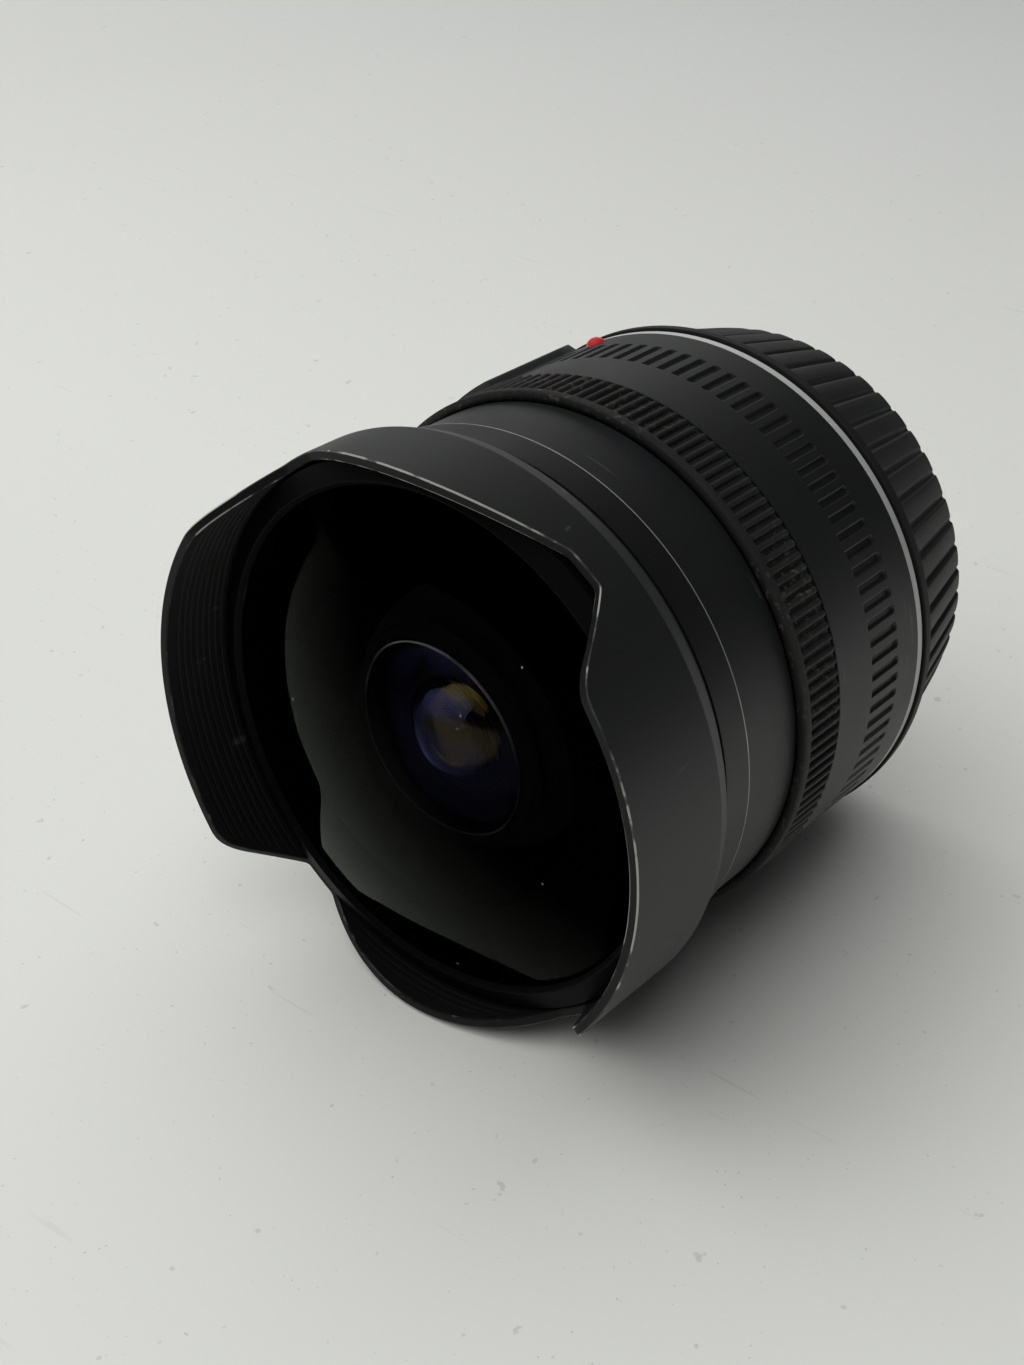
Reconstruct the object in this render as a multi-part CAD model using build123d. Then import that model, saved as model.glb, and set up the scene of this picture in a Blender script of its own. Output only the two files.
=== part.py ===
from build123d import *
import math
import os

# Fisheye lens with a fixed four-petal hood, its inner works and its rear cap. All lengths are in millimetres.
# The optical axis is Y, and the front glass looks along -Y. y = 0 is the seating face of the camera mount.
# Clock angles turn right-handed about +Y from the side of the distance window, which is -X. +Z is 90 degrees.

full_turn = 360
half_turn = 180
quarter_turn = 90

# Clearances
seat_gap = 0.05
running_gap = 0.1
loose_gap = 0.3
overrun = 5

# Chief sizes of the outside
flange_to_tips = 62.2
front_barrel_radius = 33.45
hood_rise = 3.05
hood_radius = front_barrel_radius + hood_rise
grip_rise = 1.25
grip_radius = front_barrel_radius + grip_rise
rear_barrel_rise = 0.85
rear_barrel_radius = front_barrel_radius + rear_barrel_rise
panel_rise = 1.2
panel_radius = rear_barrel_radius + panel_rise
cap_rim_rise = 0.3
cap_rim_radius = rear_barrel_radius + cap_rim_rise
cap_rim_step = 0.7
cap_rib_front_radius = cap_rim_radius - cap_rim_step
cap_taper = 3.7
cap_end_radius = cap_rib_front_radius - cap_taper
cap_length = 17.2

# Hood
hood_wall = 1.2
hood_length = 19.1
hood_bevel_length = 4.1
hood_bevel_drop = 2.0
petal_drop = 4.6
long_petal_tip_half = 22.7
long_petal_root_half = 28.2
notch_depth = 10
petal_corner_round = 3.6
step_pitch = 1
step_width = 0.5
step_depth = 0.25
step_count = 9

# Front barrel, bare band and sliding sleeve
band_rise = 0.6
band_radius = front_barrel_radius + band_rise
band_length = 4.75
band_taper = 0.2
band_groove = 0.4
neck_wall = 1.4
barrel_wall = 1.45
front_barrel_length = 18.5
sleeve_step = 2.05
sleeve_radius = front_barrel_radius - sleeve_step
sleeve_wall = 1
sleeve_reach = 3
focus_travel = 2.1

# Focus ring, its rubber and the parts that turn with it
focus_ring_wall = 1.9
focus_ring_length = 7.45
rubber_margin = 1.1
rib_count = 147
rib_depth = 0.55
rib_share = 0.56
ring_end_gap = 0.2
cam_wall = 1.2
cam_length = 16.6
cam_flange_thickness = 1.2
cam_flange_set_back = 3.1
cam_turn = 75
cam_slot_spare_turn = 4
drum_wall = 0.7
drum_reach = 9
drum_start = -58
drum_end = 48

# Guide barrel and focusing sleeve
guide_wall = 1.1
guide_front_spare = 5
guide_flange_thickness = 1
focus_sleeve_wall = 1
focus_sleeve_rear = 9.5
roller_radius = 1
roller_station = 14
roller_count = 3
roller_first_angle = 30

# Rear barrel
rear_barrel_wall = 1.6
rear_barrel_inner = rear_barrel_radius - rear_barrel_wall
rear_lip_length = 2.45
barrel_end_inset = 0.95
trim_width = 1.05
trim_depth = 1.1
groove_count = 97
groove_first_angle = 62.7
groove_used = 64
groove_width = 1.05
groove_depth = 0.4
groove_rear = 6.7
groove_length = 6
panel_half_angle = 58
panel_rear = 2.2
panel_bevel = 1.2

# Distance window
window_half_angle = 14
window_front = 17.4
window_length = 5.6
window_thickness = 0.8
window_ledge = 0.9

# Focus mode switch
switch_angle = 38
switch_slot_length = 9
switch_slot_width = 4
switch_slot_rear = 6.5
switch_length = 5.6
switch_travel = 3
switch_floor = 0.5
switch_height = 0.8
switch_rib_width = 0.5

# Index bead
dot_radius = 1.3
dot_angle = 64
dot_station = 4

# Bayonet mount
mount_inset = 1.8
mount_radius = rear_barrel_radius - mount_inset
mount_bore_radius = 22
mount_boss_step = 1.5
mount_boss_radius = mount_radius - mount_boss_step
mount_boss_wall = 3
mount_boss_inner = mount_boss_radius - mount_boss_wall
rear_lip_radius = mount_boss_radius + running_gap
mount_step = 1.6
tube_radius = 24.6
tube_length = 4
lug_radius = 26.7
lug_start = 2
lug_thickness = 1.8
lug_span = 50
lug_count = 3
lug_first_angle = 25
mount_screw_circle = (mount_boss_radius + mount_boss_inner) / 2
mount_screw_count = 4
mount_screw_angle = 45
mount_screw_head = 1.3
mount_screw_head_height = 0.7
mount_screw_shank = 0.7
mount_screw_length = 4.2

# Electrical contacts and board
contact_angle = 120
contact_span = 64
contact_inner = 19.2
contact_outer = 21.7
contact_front = 1.4
contact_rear = 3.4
pin_count = 8
pin_radius = 0.55
pin_stand = 0.3
pin_span = 49
board_spare = 1.1
board_outer = rear_barrel_inner - board_spare
board_width = 6.2
board_inner = board_outer - board_width
board_thickness = 0.8
board_set_back = 0.5
board_start = -138
board_end = 40
chip_length = 6
chip_width = 3.4
chip_height = 1
chip_step = 1.4
chip_inner = board_inner + chip_step
chip_angles = (-120, -70, -20)

# Rear baffle with the slot of the filter holder
baffle_thickness = 1.7
baffle_window_x = 24
baffle_window_z = 17
filter_slot = 0.5
filter_slot_width = 31

# Gears of the focus drive
drive_space = 6.4
cam_radius = rear_barrel_inner - drive_space
sector_rise = 0.7
sector_pitch_radius = cam_radius + sector_rise
sector_teeth = 108
drive_module = 2 * sector_pitch_radius / sector_teeth
sector_spare_teeth = 3
sector_width = 2
sector_front = 10.6
drive_pinion_teeth = 9
train_module = 0.3
train_wheel_teeth = 18
train_pinion_teeth = 8
train_width = 1.1
train_gap = 0.4
gear_angle = 205
addendum_share = 0.8
dedendum_share = 1.15
tooth_pitch_share = 0.19
tooth_tip_share = 0.09
tooth_root_share = 0.29
shaft_radius = 0.5
bridge_thickness = 0.8
bridge_half_angle = 11
bridge_outer = rear_barrel_inner - loose_gap
bridge_width = 5.6
bridge_inner = bridge_outer - bridge_width
bridge_post_inset = 1.5
bridge_post_circle = bridge_outer - bridge_post_inset
bridge_post_radius = 0.9

# Focus motor
motor_width = 4.8
motor_outer = rear_barrel_inner - loose_gap
motor_inner = motor_outer - motor_width
motor_front = 19.2
motor_length = 8.3
motor_start_angle = 209.5
motor_span = 92

# Glass, from the front element to the rear one. A bulge is 1 to the front and -1 to the rear.
glass_stations = (60.4, 51.4, 43.5, 35, 24.6, 21.2, 16, 12.6)
glass_front_radii = (72, 60, 24, 30, 40, 60, 13.5, 34)
glass_front_bulges = (1, 1, 1, 1, -1, 1, -1, 1)
glass_rear_radii = (23.9, 15.5, 30, 60, 30, 13.5, 34, 40)
glass_rear_bulges = (1, 1, -1, -1, 1, -1, -1, -1)
glass_thicknesses = (2.4, 1.5, 7.35, 2.6, 1.5, 5.2, 1.6, 4.4)
glass_edges = (32, 15.5, 10.5, 8, 8.5, 9, 9, 11)
glass_1_bevel = 0.3
glass_1_seat = 48.4
glass_2_rear_half = 13.8

# Front cell
cell_flange_radius = hood_radius - hood_wall - running_gap
cell_flange_thickness = 1.9
cell_hub_radius = 17.8
cell_hub_length = 10.8
cell_tail_radius = 12.6
cell_tail_rear = 31
cell_lip_radius = 16.6
cell_lip_front = 50.6
cell_throat_4 = 7.2
cell_neck_3 = 9.4
cell_collar_3_front = 43.2
cell_collar_3_wall = 0.9
retainer_width = 1.3
retainer_height = 0.8

# Rear cell
rear_cell_radius = 13.6
rear_cell_rear = 6
rear_cell_flange = 1
rear_cell_lip = 0.8

# Front ring round the glass
front_ring_spare = 0.4
front_ring_radius = hood_radius - hood_wall - front_ring_spare
front_ring_slope = 2.6
front_ring_lip = front_ring_radius - front_ring_slope
front_ring_lip_front = 53.9
front_ring_outer_front = 52.8
front_ring_lip_width = 0.6
front_ring_throat = front_ring_lip - front_ring_lip_width

# Hood screws
hood_screw_inset = 2.1
hood_screw_circle = hood_radius - hood_screw_inset
hood_screw_count = 3
hood_screw_head = 0.8
hood_screw_head_height = 0.6
hood_screw_shank = 0.4
hood_screw_length = 3.4

# Iris
iris_opening = 7.6
iris_plate = 0.8
iris_wall = 0.9
iris_wall_inset = 1.1
iris_blade_count = 5
iris_blade_inner = 8.1
iris_blade_outer = 11.8
iris_blade_span = 92
iris_blade_start = -3
iris_tab_outer = 15.9
iris_tab_end = 7
iris_blade_thickness = 0.12
iris_layer = 0.25
iris_pivot_circle = 15.2
iris_pin_circle = 12.8
iris_pin_radius = 0.45
iris_blade_turn = 26.5
iris_ring_inner = 9.6
iris_ring_outer = 16.2
iris_ring_thickness = 0.7
iris_sector_teeth = 92
iris_sector_spare = 1.5
iris_pinion_teeth = 9
iris_gear_angle = 320
iris_window_half_angle = 17
iris_motor_radius = 2.2
iris_motor_spare = 0.4
iris_motor_length = 9
iris_ear_half_angle = 9
iris_cover_opening = 9.2
iris_ear_reach = 22.3

# Rear cap
cap_rim_front = 0.45
cap_rim_rear = 0.7
cap_rim_bevel = 0.25
cap_shell_wall = 1.6
cap_rib_depth = 0.65
cap_rib_count = 57
cap_valley_share = 0.72
cap_end_round = 1.2
cap_floor_thickness = 2.4
cap_inner_tube_radius = 28.7
cap_inner_tube_wall = 1.4
cap_tab_inner = 25.1
cap_tab_front = 0.4
cap_tab_thickness = 1.4
cap_tab_span = 40
cap_recess_radius = 24
cap_recess_depth = 0.5
cap_travel = 30

# Half width of the hollow at the back of the front glass
glass_1_hollow = glass_stations[0] - glass_thicknesses[0] - glass_1_seat
glass_1_rear_half = math.sqrt(glass_1_hollow * (2 * glass_rear_radii[0] - glass_1_hollow))

# Stations along Y, worked out from the sizes above
tip_y = -flange_to_tips
hood_rear_y = tip_y + hood_length
hood_bevel_y = hood_rear_y - hood_bevel_length
petal_round = hood_radius
hood_inner_radius = hood_radius - hood_wall
flange_rear_y = -glass_1_seat + cell_flange_thickness
flange_front_y = -glass_1_seat
band_front_y = hood_rear_y + band_groove
band_rear_y = band_front_y + band_length
front_barrel_end_y = flange_rear_y + front_barrel_length
sleeve_end_y = front_barrel_end_y + sleeve_reach
focus_ring_front_y = front_barrel_end_y + ring_end_gap
focus_ring_rear_y = focus_ring_front_y + focus_ring_length
rear_barrel_front_y = focus_ring_rear_y + ring_end_gap
rear_barrel_rear_y = -barrel_end_inset
focus_ring_outer = sleeve_radius + running_gap + running_gap + focus_ring_wall
focus_ring_inner = focus_ring_outer - focus_ring_wall
cam_front_y = focus_ring_front_y + cam_flange_set_back
cam_rear_y = cam_front_y + cam_length
cam_inner = cam_radius - cam_wall
guide_outer = cam_inner - running_gap
guide_inner = guide_outer - guide_wall
guide_rear_y = -barrel_end_inset - rear_lip_length
focus_sleeve_outer = guide_inner - running_gap
focus_sleeve_inner = focus_sleeve_outer - focus_sleeve_wall
iris_front_y = -cell_tail_rear
iris_layers_y = iris_front_y + iris_plate + running_gap
iris_ring_y = iris_layers_y + iris_blade_count * iris_layer + running_gap
iris_cover_y = iris_ring_y + iris_ring_thickness + running_gap
rear_cell_front_y = iris_cover_y + iris_plate
gear_centre = sector_pitch_radius + drive_module * drive_pinion_teeth / 2
train_distance = train_module * (train_wheel_teeth + train_pinion_teeth) / 2
train_swing = 2 * math.degrees(math.asin(train_distance / 2 / gear_centre))
motor_gear_angle = gear_angle + train_swing
train_y = -sector_front + sector_width + train_gap
bridge_y = train_y + train_width + train_gap
iris_gear_centre = focus_sleeve_inner - iris_motor_spare - iris_motor_radius
iris_module = 2 * iris_gear_centre / (iris_sector_teeth + iris_pinion_teeth)
iris_wall_outer = iris_module * iris_sector_teeth / 2 - iris_wall_inset
iris_wall_inner = iris_wall_outer - iris_wall


def clock(angle):
    """Turn what is modelled on the +X side to a clock angle."""
    return Rot(0, angle + half_turn, 0)


def clock_point(radius, angle):
    """Place of a clock angle in the plan plane of slab()."""
    turn = math.radians(angle + half_turn)
    return (radius * math.cos(turn), radius * math.sin(turn))


def turned(points):
    """Turn a closed outline of (radius, station) pairs about the optical axis."""
    return revolve(make_face(Polyline(*points, close=True)), axis=Axis.Y)


def tube(outer, inner, front, rear):
    """Plain ring between two stations."""
    return turned([(inner, front), (outer, front), (outer, rear), (inner, rear)])


def slab(sketch, front, rear):
    """Extrude a plan sketch along Y between two stations."""
    plan = Plane(origin=(0, front, 0), x_dir=(1, 0, 0), z_dir=(0, 1, 0))
    return extrude(plan * sketch, amount=rear - front)


def rod(radius, front, rear, circle=0, angle=0):
    """Round rod along Y at a clock angle on a circle about the axis."""
    return slab(Pos(*clock_point(circle, angle)) * Circle(radius), front, rear)


def sector(outer, inner, start, end):
    """Plan sketch of a ring sector between two clock angles."""
    middle = (start + end) / 2
    edge = [
        ThreePointArc(clock_point(outer, start), clock_point(outer, middle), clock_point(outer, end)),
        Line(clock_point(outer, end), clock_point(inner, end)),
        ThreePointArc(clock_point(inner, end), clock_point(inner, middle), clock_point(inner, start)),
        Line(clock_point(inner, start), clock_point(outer, start)),
    ]
    return make_face(edge)


def radial_rod(radius, inner, outer, angle, station):
    """Round rod that stands out from the axis at a clock angle."""
    bar = Plane(origin=(inner, station, 0), z_dir=(1, 0, 0)) * Circle(radius)
    return clock(angle) * extrude(bar, amount=outer - inner)


def radial_box(depth, along, across, inner, angle, station):
    """Box standing out from the axis: depth is radial, along is along Y, across is sideways."""
    return clock(angle) * Pos(inner + depth / 2, station, 0) * Box(depth, along, across)


def gear_sketch(module, teeth, angle=0):
    """Plan sketch of a spur gear with one tooth at a local angle."""
    pitch_radius = module * teeth / 2
    root = (pitch_radius - module * dedendum_share, tooth_root_share)
    flank = (pitch_radius, tooth_pitch_share)
    tip = (pitch_radius + module * addendum_share, tooth_tip_share)
    step = 2 * math.pi / teeth
    points = []
    for index in range(teeth):
        middle = math.radians(angle) + index * step
        for radius, share in (root, flank, tip):
            points.append((radius * math.cos(middle - share * step), radius * math.sin(middle - share * step)))
        for radius, share in (tip, flank, root):
            points.append((radius * math.cos(middle + share * step), radius * math.sin(middle + share * step)))
    return make_face(Polyline(*points, close=True))


def surface(vertex, radius, bulge, at):
    """Station of a glass surface at a distance from the axis."""
    return vertex + bulge * (radius - math.sqrt(radius * radius - at * at))


def front_face(number, at):
    """Station of the front surface of a numbered element at a distance from the axis."""
    index = number - 1
    return surface(-glass_stations[index], glass_front_radii[index], glass_front_bulges[index], at)


def rear_face(number, at):
    """Station of the rear surface of a numbered element at a distance from the axis."""
    index = number - 1
    vertex = -glass_stations[index] + glass_thicknesses[index]
    return surface(vertex, glass_rear_radii[index], glass_rear_bulges[index], at)


def glass(number, rear_half=None, bevel=0):
    """Turn one numbered element; its rear surface may end inside the edge."""
    edge = glass_edges[number - 1]
    half = rear_half or edge
    front = front_face(number, 0)
    rear = rear_face(number, 0)
    front_edge = front_face(number, edge - bevel)
    rear_edge = rear_face(number, half)
    outline = [
        ThreePointArc((0, front), (edge / 2, front_face(number, edge / 2)), (edge - bevel, front_edge)),
        ThreePointArc((half, rear_edge), (half / 2, rear_face(number, half / 2)), (0, rear)),
        Line((0, rear), (0, front)),
    ]
    corners = [(edge - bevel, front_edge), (edge, front_edge + bevel), (edge, rear_edge), (half, rear_edge)]
    for start, end in zip(corners, corners[1:]):
        if start != end:
            outline.append(Line(start, end))
    return revolve(make_face(outline), axis=Axis.Y)


def hood_steps():
    """Inner wall of the hood from the tips back, as a comb of fine steps."""
    points = [(hood_inner_radius, tip_y)]
    for index in range(step_count):
        front = tip_y + (index + 1) * step_pitch - step_width
        deep = hood_inner_radius + step_depth
        points += [(hood_inner_radius, front), (deep, front), (deep, front + step_width)]
        points.append((hood_inner_radius, front + step_width))
    return points


def petal_blocks():
    """Space that the hood fills: a box behind the notches, the arched short petals and the tapered long ones."""
    notch_floor = tip_y + notch_depth
    half = hood_radius + overrun
    body_length = hood_length - notch_depth + overrun
    body = Pos(0, notch_floor + body_length / 2, 0) * Box(2 * half, body_length, 2 * half)
    arch = Pos(0, tip_y + petal_drop + petal_round) * Circle(petal_round)
    side = Polyline(
        (-long_petal_tip_half, tip_y),
        (long_petal_tip_half, tip_y),
        (long_petal_root_half, notch_floor),
        (-long_petal_root_half, notch_floor),
        close=True,
    )
    face = make_face(side)
    face = fillet(face.vertices().sort_by(Axis.Y)[:2], petal_corner_round)
    long = extrude(Rot(0, quarter_turn, 0) * face, amount=half, both=True)
    return body + extrude(arch, amount=half, both=True) + long


def petal_hood():
    """One turned hood whose front edge is cut to two long and two short petals."""
    seat_radius = front_barrel_radius + seat_gap
    outline = [
        (hood_radius, tip_y),
        (hood_radius, hood_bevel_y),
        (hood_radius - hood_bevel_drop, hood_rear_y),
        (seat_radius, hood_rear_y),
        (seat_radius, flange_rear_y),
        (hood_inner_radius, flange_rear_y),
    ]
    hood = turned(outline + hood_steps()[::-1]) & petal_blocks()
    for index in range(hood_screw_count):
        angle = index * full_turn / hood_screw_count
        end = flange_front_y + hood_screw_length
        hood -= rod(hood_screw_shank + seat_gap, flange_rear_y - overrun, end + seat_gap, hood_screw_circle, angle)
    return hood


def hood_screws():
    """Three countersunk screws that hold the hood to the flange of the front cell."""
    screws = []
    for index in range(hood_screw_count):
        angle = index * full_turn / hood_screw_count
        front = flange_front_y + seat_gap
        head = rod(hood_screw_head, front, front + hood_screw_head_height, hood_screw_circle, angle)
        shank = rod(hood_screw_shank, front, front + hood_screw_length - seat_gap, hood_screw_circle, angle)
        screws.append(head + shank)
    return screws


def front_ring():
    """Dark ring that holds the front glass."""
    inner = glass_edges[0] + running_gap
    lip_front = -front_ring_lip_front
    shelf = front_face(1, front_ring_throat) - seat_gap
    outline = [
        (front_ring_throat, shelf - seat_gap),
        (front_ring_lip, lip_front),
        (front_ring_radius, -front_ring_outer_front),
        (front_ring_radius, flange_front_y),
        (inner, flange_front_y),
        (inner, shelf),
        (front_ring_throat, shelf),
    ]
    return turned(outline)


def front_cell():
    """Turned cell that carries the front glass, the second to fourth elements and the focusing sleeve."""
    seat_2 = rear_face(2, glass_2_rear_half)
    bore_2 = glass_edges[1] + running_gap
    bore_3 = glass_edges[2] + running_gap
    bore_4 = glass_edges[3] + running_gap
    rear_3 = rear_face(3, glass_edges[2])
    front_4 = front_face(4, glass_edges[3]) - seat_gap
    seat_4 = front_face(4, cell_throat_4) - seat_gap
    neck_3 = rear_face(3, cell_neck_3) + seat_gap
    throat_4 = rear_face(3, cell_throat_4) + loose_gap
    hub_rear = flange_rear_y + cell_hub_length
    outline = [
        (bore_2, -cell_lip_front),
        (cell_lip_radius, -cell_lip_front),
        (cell_lip_radius, flange_front_y - seat_gap),
        (glass_1_rear_half - loose_gap, flange_front_y - seat_gap),
        (glass_1_rear_half - loose_gap, flange_front_y),
        (cell_flange_radius, flange_front_y),
        (cell_flange_radius, flange_rear_y),
        (cell_hub_radius, flange_rear_y),
        (cell_hub_radius, hub_rear),
        (cell_tail_radius, hub_rear),
        (cell_tail_radius, -cell_tail_rear),
        (bore_4, -cell_tail_rear),
        (bore_4, front_4),
        (cell_throat_4, seat_4),
        (cell_throat_4, throat_4),
        (cell_neck_3, neck_3),
        (bore_3, rear_3 + seat_gap),
        (bore_3, -cell_collar_3_front),
        (bore_3 + cell_collar_3_wall, -cell_collar_3_front),
        (bore_3 + cell_collar_3_wall, seat_2 + retainer_height),
        (glass_2_rear_half, seat_2 + retainer_height),
        (glass_2_rear_half, seat_2),
        (bore_2, seat_2),
    ]
    cell = turned(outline)
    for index in range(hood_screw_count):
        angle = index * full_turn / hood_screw_count
        head_end = flange_front_y + seat_gap + hood_screw_head_height
        cell -= rod(hood_screw_head + seat_gap, flange_front_y - overrun, head_end, hood_screw_circle, angle)
        cell -= rod(hood_screw_shank + seat_gap, flange_front_y, flange_rear_y + overrun, hood_screw_circle, angle)
    return cell


def retainer(edge, front):
    """Threaded ring that keeps one element in its bore."""
    outer = edge + running_gap - seat_gap
    return tube(outer, outer - retainer_width, front, front + retainer_height)


def retaining_rings():
    """The threaded rings of both cells."""
    clear = running_gap - seat_gap - retainer_width
    rings = []
    for number in (2, 3):
        edge = glass_edges[number - 1]
        rings.append(retainer(edge, front_face(number, edge + clear) - seat_gap - retainer_height))
    edge = glass_edges[4]
    rings.append(retainer(edge, front_face(5, edge) - seat_gap - retainer_height))
    for number in (4, 7, 8):
        edge = glass_edges[number - 1]
        rings.append(retainer(edge, rear_face(number, edge + clear) + seat_gap))
    return rings


def front_barrel():
    """Visible smooth barrel with the bare band, and the sleeve that slides under the focus ring."""
    neck_inner = front_barrel_radius - neck_wall
    inner = front_barrel_radius - barrel_wall
    sleeve_inner = sleeve_radius - sleeve_wall
    sleeve_root = front_barrel_end_y - sleeve_wall
    outline = [
        (neck_inner, flange_rear_y),
        (front_barrel_radius, flange_rear_y),
        (front_barrel_radius, band_front_y),
        (band_radius, band_front_y),
        (band_radius - band_taper, band_rear_y - band_taper),
        (front_barrel_radius, band_rear_y),
        (front_barrel_radius, front_barrel_end_y),
        (sleeve_radius, front_barrel_end_y),
        (sleeve_radius, sleeve_end_y),
        (sleeve_inner, sleeve_end_y),
        (sleeve_inner, sleeve_root),
        (inner, sleeve_root),
        (inner, band_rear_y),
        (neck_inner, band_rear_y - neck_wall),
    ]
    return turned(outline)


def focus_sleeve():
    """Sleeve that carries the whole focusing unit inside the guide barrel."""
    sleeve = tube(focus_sleeve_outer, focus_sleeve_inner, flange_rear_y, -focus_sleeve_rear)
    for index in range(roller_count):
        angle = roller_first_angle + index * full_turn / roller_count
        hole = roller_radius / 2 + seat_gap
        sleeve -= radial_rod(hole, focus_sleeve_inner - overrun, focus_sleeve_outer + overrun, angle, -roller_station)
    return sleeve


def cam_rollers():
    """Three rollers on studs that ride in the guide slots and the slanted cam slots."""
    rollers = []
    for index in range(roller_count):
        angle = roller_first_angle + index * full_turn / roller_count
        seat = focus_sleeve_outer + seat_gap
        stud = radial_rod(roller_radius / 2, focus_sleeve_inner + seat_gap, seat, angle, -roller_station)
        wheel = radial_rod(roller_radius, seat, cam_radius - running_gap, angle, -roller_station)
        rollers.append(stud + wheel)
    return rollers


def inner_barrel():
    """Fixed guide barrel with three straight slots and the flange that the mount is screwed to."""
    front = cam_front_y - guide_front_spare
    flange_front = guide_rear_y - guide_flange_thickness
    barrel = tube(guide_outer, guide_inner, front, guide_rear_y)
    barrel += tube(rear_barrel_inner - seat_gap, guide_inner, flange_front, guide_rear_y)
    slot_width = 2 * (roller_radius + running_gap)
    slot_length = slot_width + focus_travel + 2 * running_gap
    for index in range(roller_count):
        angle = roller_first_angle + index * full_turn / roller_count
        station = -roller_station - focus_travel / 2
        barrel -= radial_box(2 * overrun, slot_length, slot_width, guide_inner - overrun, angle, station)
    for index in range(mount_screw_count):
        angle = mount_screw_angle + index * full_turn / mount_screw_count
        hole = mount_screw_shank + seat_gap
        barrel -= rod(hole, flange_front - overrun, guide_rear_y + overrun, mount_screw_circle, angle)
    return barrel


def cam_ring():
    """Turning ring with three slanted slots, a gear sector and the flange that the focus ring drives."""
    ring = tube(cam_radius, cam_inner, cam_front_y, cam_rear_y)
    ring += tube(focus_ring_inner - seat_gap, cam_inner, cam_front_y, cam_front_y + cam_flange_thickness)
    middle_radius = (cam_radius + cam_inner) / 2
    swing = math.radians(cam_turn / 2)
    lean = math.degrees(math.atan(focus_travel / 2 / (middle_radius * math.sin(swing))))
    reach = math.radians(cam_turn / 2 + cam_slot_spare_turn)
    length = 2 * (cam_radius * math.sin(reach) + roller_radius)
    width = 2 * (roller_radius + running_gap)
    for index in range(roller_count):
        angle = roller_first_angle + index * full_turn / roller_count - cam_turn / 2
        station = -roller_station - focus_travel / 2
        slot = Box(cam_radius, width, length)
        ring -= clock(angle) * Pos(cam_radius, station, 0) * Rot(lean, 0, 0) * slot
    tooth = full_turn / sector_teeth
    start = gear_angle - cam_turn - (sector_spare_teeth + 1 / 2) * tooth
    end = gear_angle + (sector_spare_teeth + 1 / 2) * tooth
    tip = sector_pitch_radius + drive_module
    teeth = gear_sketch(drive_module, sector_teeth, gear_angle + half_turn) & sector(tip, cam_inner, start, end)
    return ring + slab(teeth, -sector_front, -sector_front + sector_width)


def focus_ring():
    """Ring that the rubber sits on."""
    return tube(focus_ring_outer, focus_ring_inner, focus_ring_front_y, focus_ring_rear_y)


def focus_grip():
    """Rubber of the focus ring: plain front edge, then ribs along the axis."""
    inner = focus_ring_outer + seat_gap
    root = grip_radius - rib_depth
    ribs_front = focus_ring_front_y + rubber_margin
    ribs_rear = focus_ring_rear_y - rubber_margin / 2
    pitch = full_turn / rib_count
    points = []
    for index in range(rib_count):
        for radius, share in ((root, 0), (grip_radius, 0), (grip_radius, rib_share), (root, rib_share)):
            points.append(clock_point(radius, (index + share) * pitch))
    ribs = slab(make_face(Polyline(*points, close=True)) - Circle(inner), ribs_front, ribs_rear)
    front = tube(grip_radius, inner, focus_ring_front_y, ribs_front)
    rear = tube(root + rib_depth / 2, inner, ribs_rear, focus_ring_rear_y)
    return front + ribs + rear


def scale_drum():
    """Thin drum that carries the plain distance marks under the window and turns with the focus ring."""
    outer = rear_barrel_inner - loose_gap
    return slab(
        sector(outer, outer - drum_wall, drum_start, drum_end),
        focus_ring_rear_y,
        focus_ring_rear_y + drum_reach,
    )


def rear_barrel():
    """Rear housing: smooth front, band of sunk grooves, raised panel, rebate of the trim ring and rear lip."""
    band_front = -groove_rear - groove_length
    lip_front = rear_barrel_rear_y - rear_lip_length
    trim_front = rear_barrel_rear_y - trim_width
    trim_inner = rear_barrel_radius - trim_depth
    outline = [
        (rear_barrel_inner, rear_barrel_front_y),
        (rear_barrel_radius, rear_barrel_front_y),
        (rear_barrel_radius, trim_front),
        (trim_inner, trim_front),
        (trim_inner, rear_barrel_rear_y),
        (rear_lip_radius, rear_barrel_rear_y),
        (rear_lip_radius, lip_front),
        (rear_barrel_inner, lip_front),
    ]
    shell = turned(outline)
    pitch = full_turn / groove_count
    notches = Sketch()
    for index in range(groove_used):
        angle = groove_first_angle + index * pitch
        notches += Pos(*clock_point(rear_barrel_radius, angle)) * Rot(0, 0, angle) * Rectangle(
            2 * groove_depth, groove_width)
    shell -= slab(notches, band_front, -groove_rear)
    panel = sector(panel_radius, rear_barrel_inner, -panel_half_angle, panel_half_angle)
    shell += slab(panel, rear_barrel_front_y, -panel_rear)
    return shell - window_opening() - switch_pocket()


def window_opening():
    """Stepped opening of the distance window."""
    ledge = math.degrees(window_ledge / panel_radius)
    through_half = window_half_angle - ledge
    through = sector(panel_radius + overrun, rear_barrel_inner - overrun, -through_half, through_half)
    seat = sector(panel_radius + overrun, panel_radius - window_thickness, -window_half_angle, window_half_angle)
    front = -window_front
    rear = front + window_length
    return slab(through, front + window_ledge, rear - window_ledge) + slab(seat, front, rear)


def scale_window():
    """Clear window over the distance marks."""
    inset = math.degrees(seat_gap / panel_radius)
    half = window_half_angle - inset
    pane = sector(panel_radius - seat_gap, panel_radius - window_thickness + seat_gap, -half, half)
    return slab(pane, -window_front + seat_gap, -window_front + window_length - seat_gap)


def switch_pocket():
    """Blind slot that the mode switch slides in."""
    floor = rear_barrel_inner + switch_floor
    station = -switch_slot_rear - switch_slot_length / 2
    depth = panel_radius + overrun - floor
    return radial_box(depth, switch_slot_length, switch_slot_width, floor, switch_angle, station)


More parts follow.
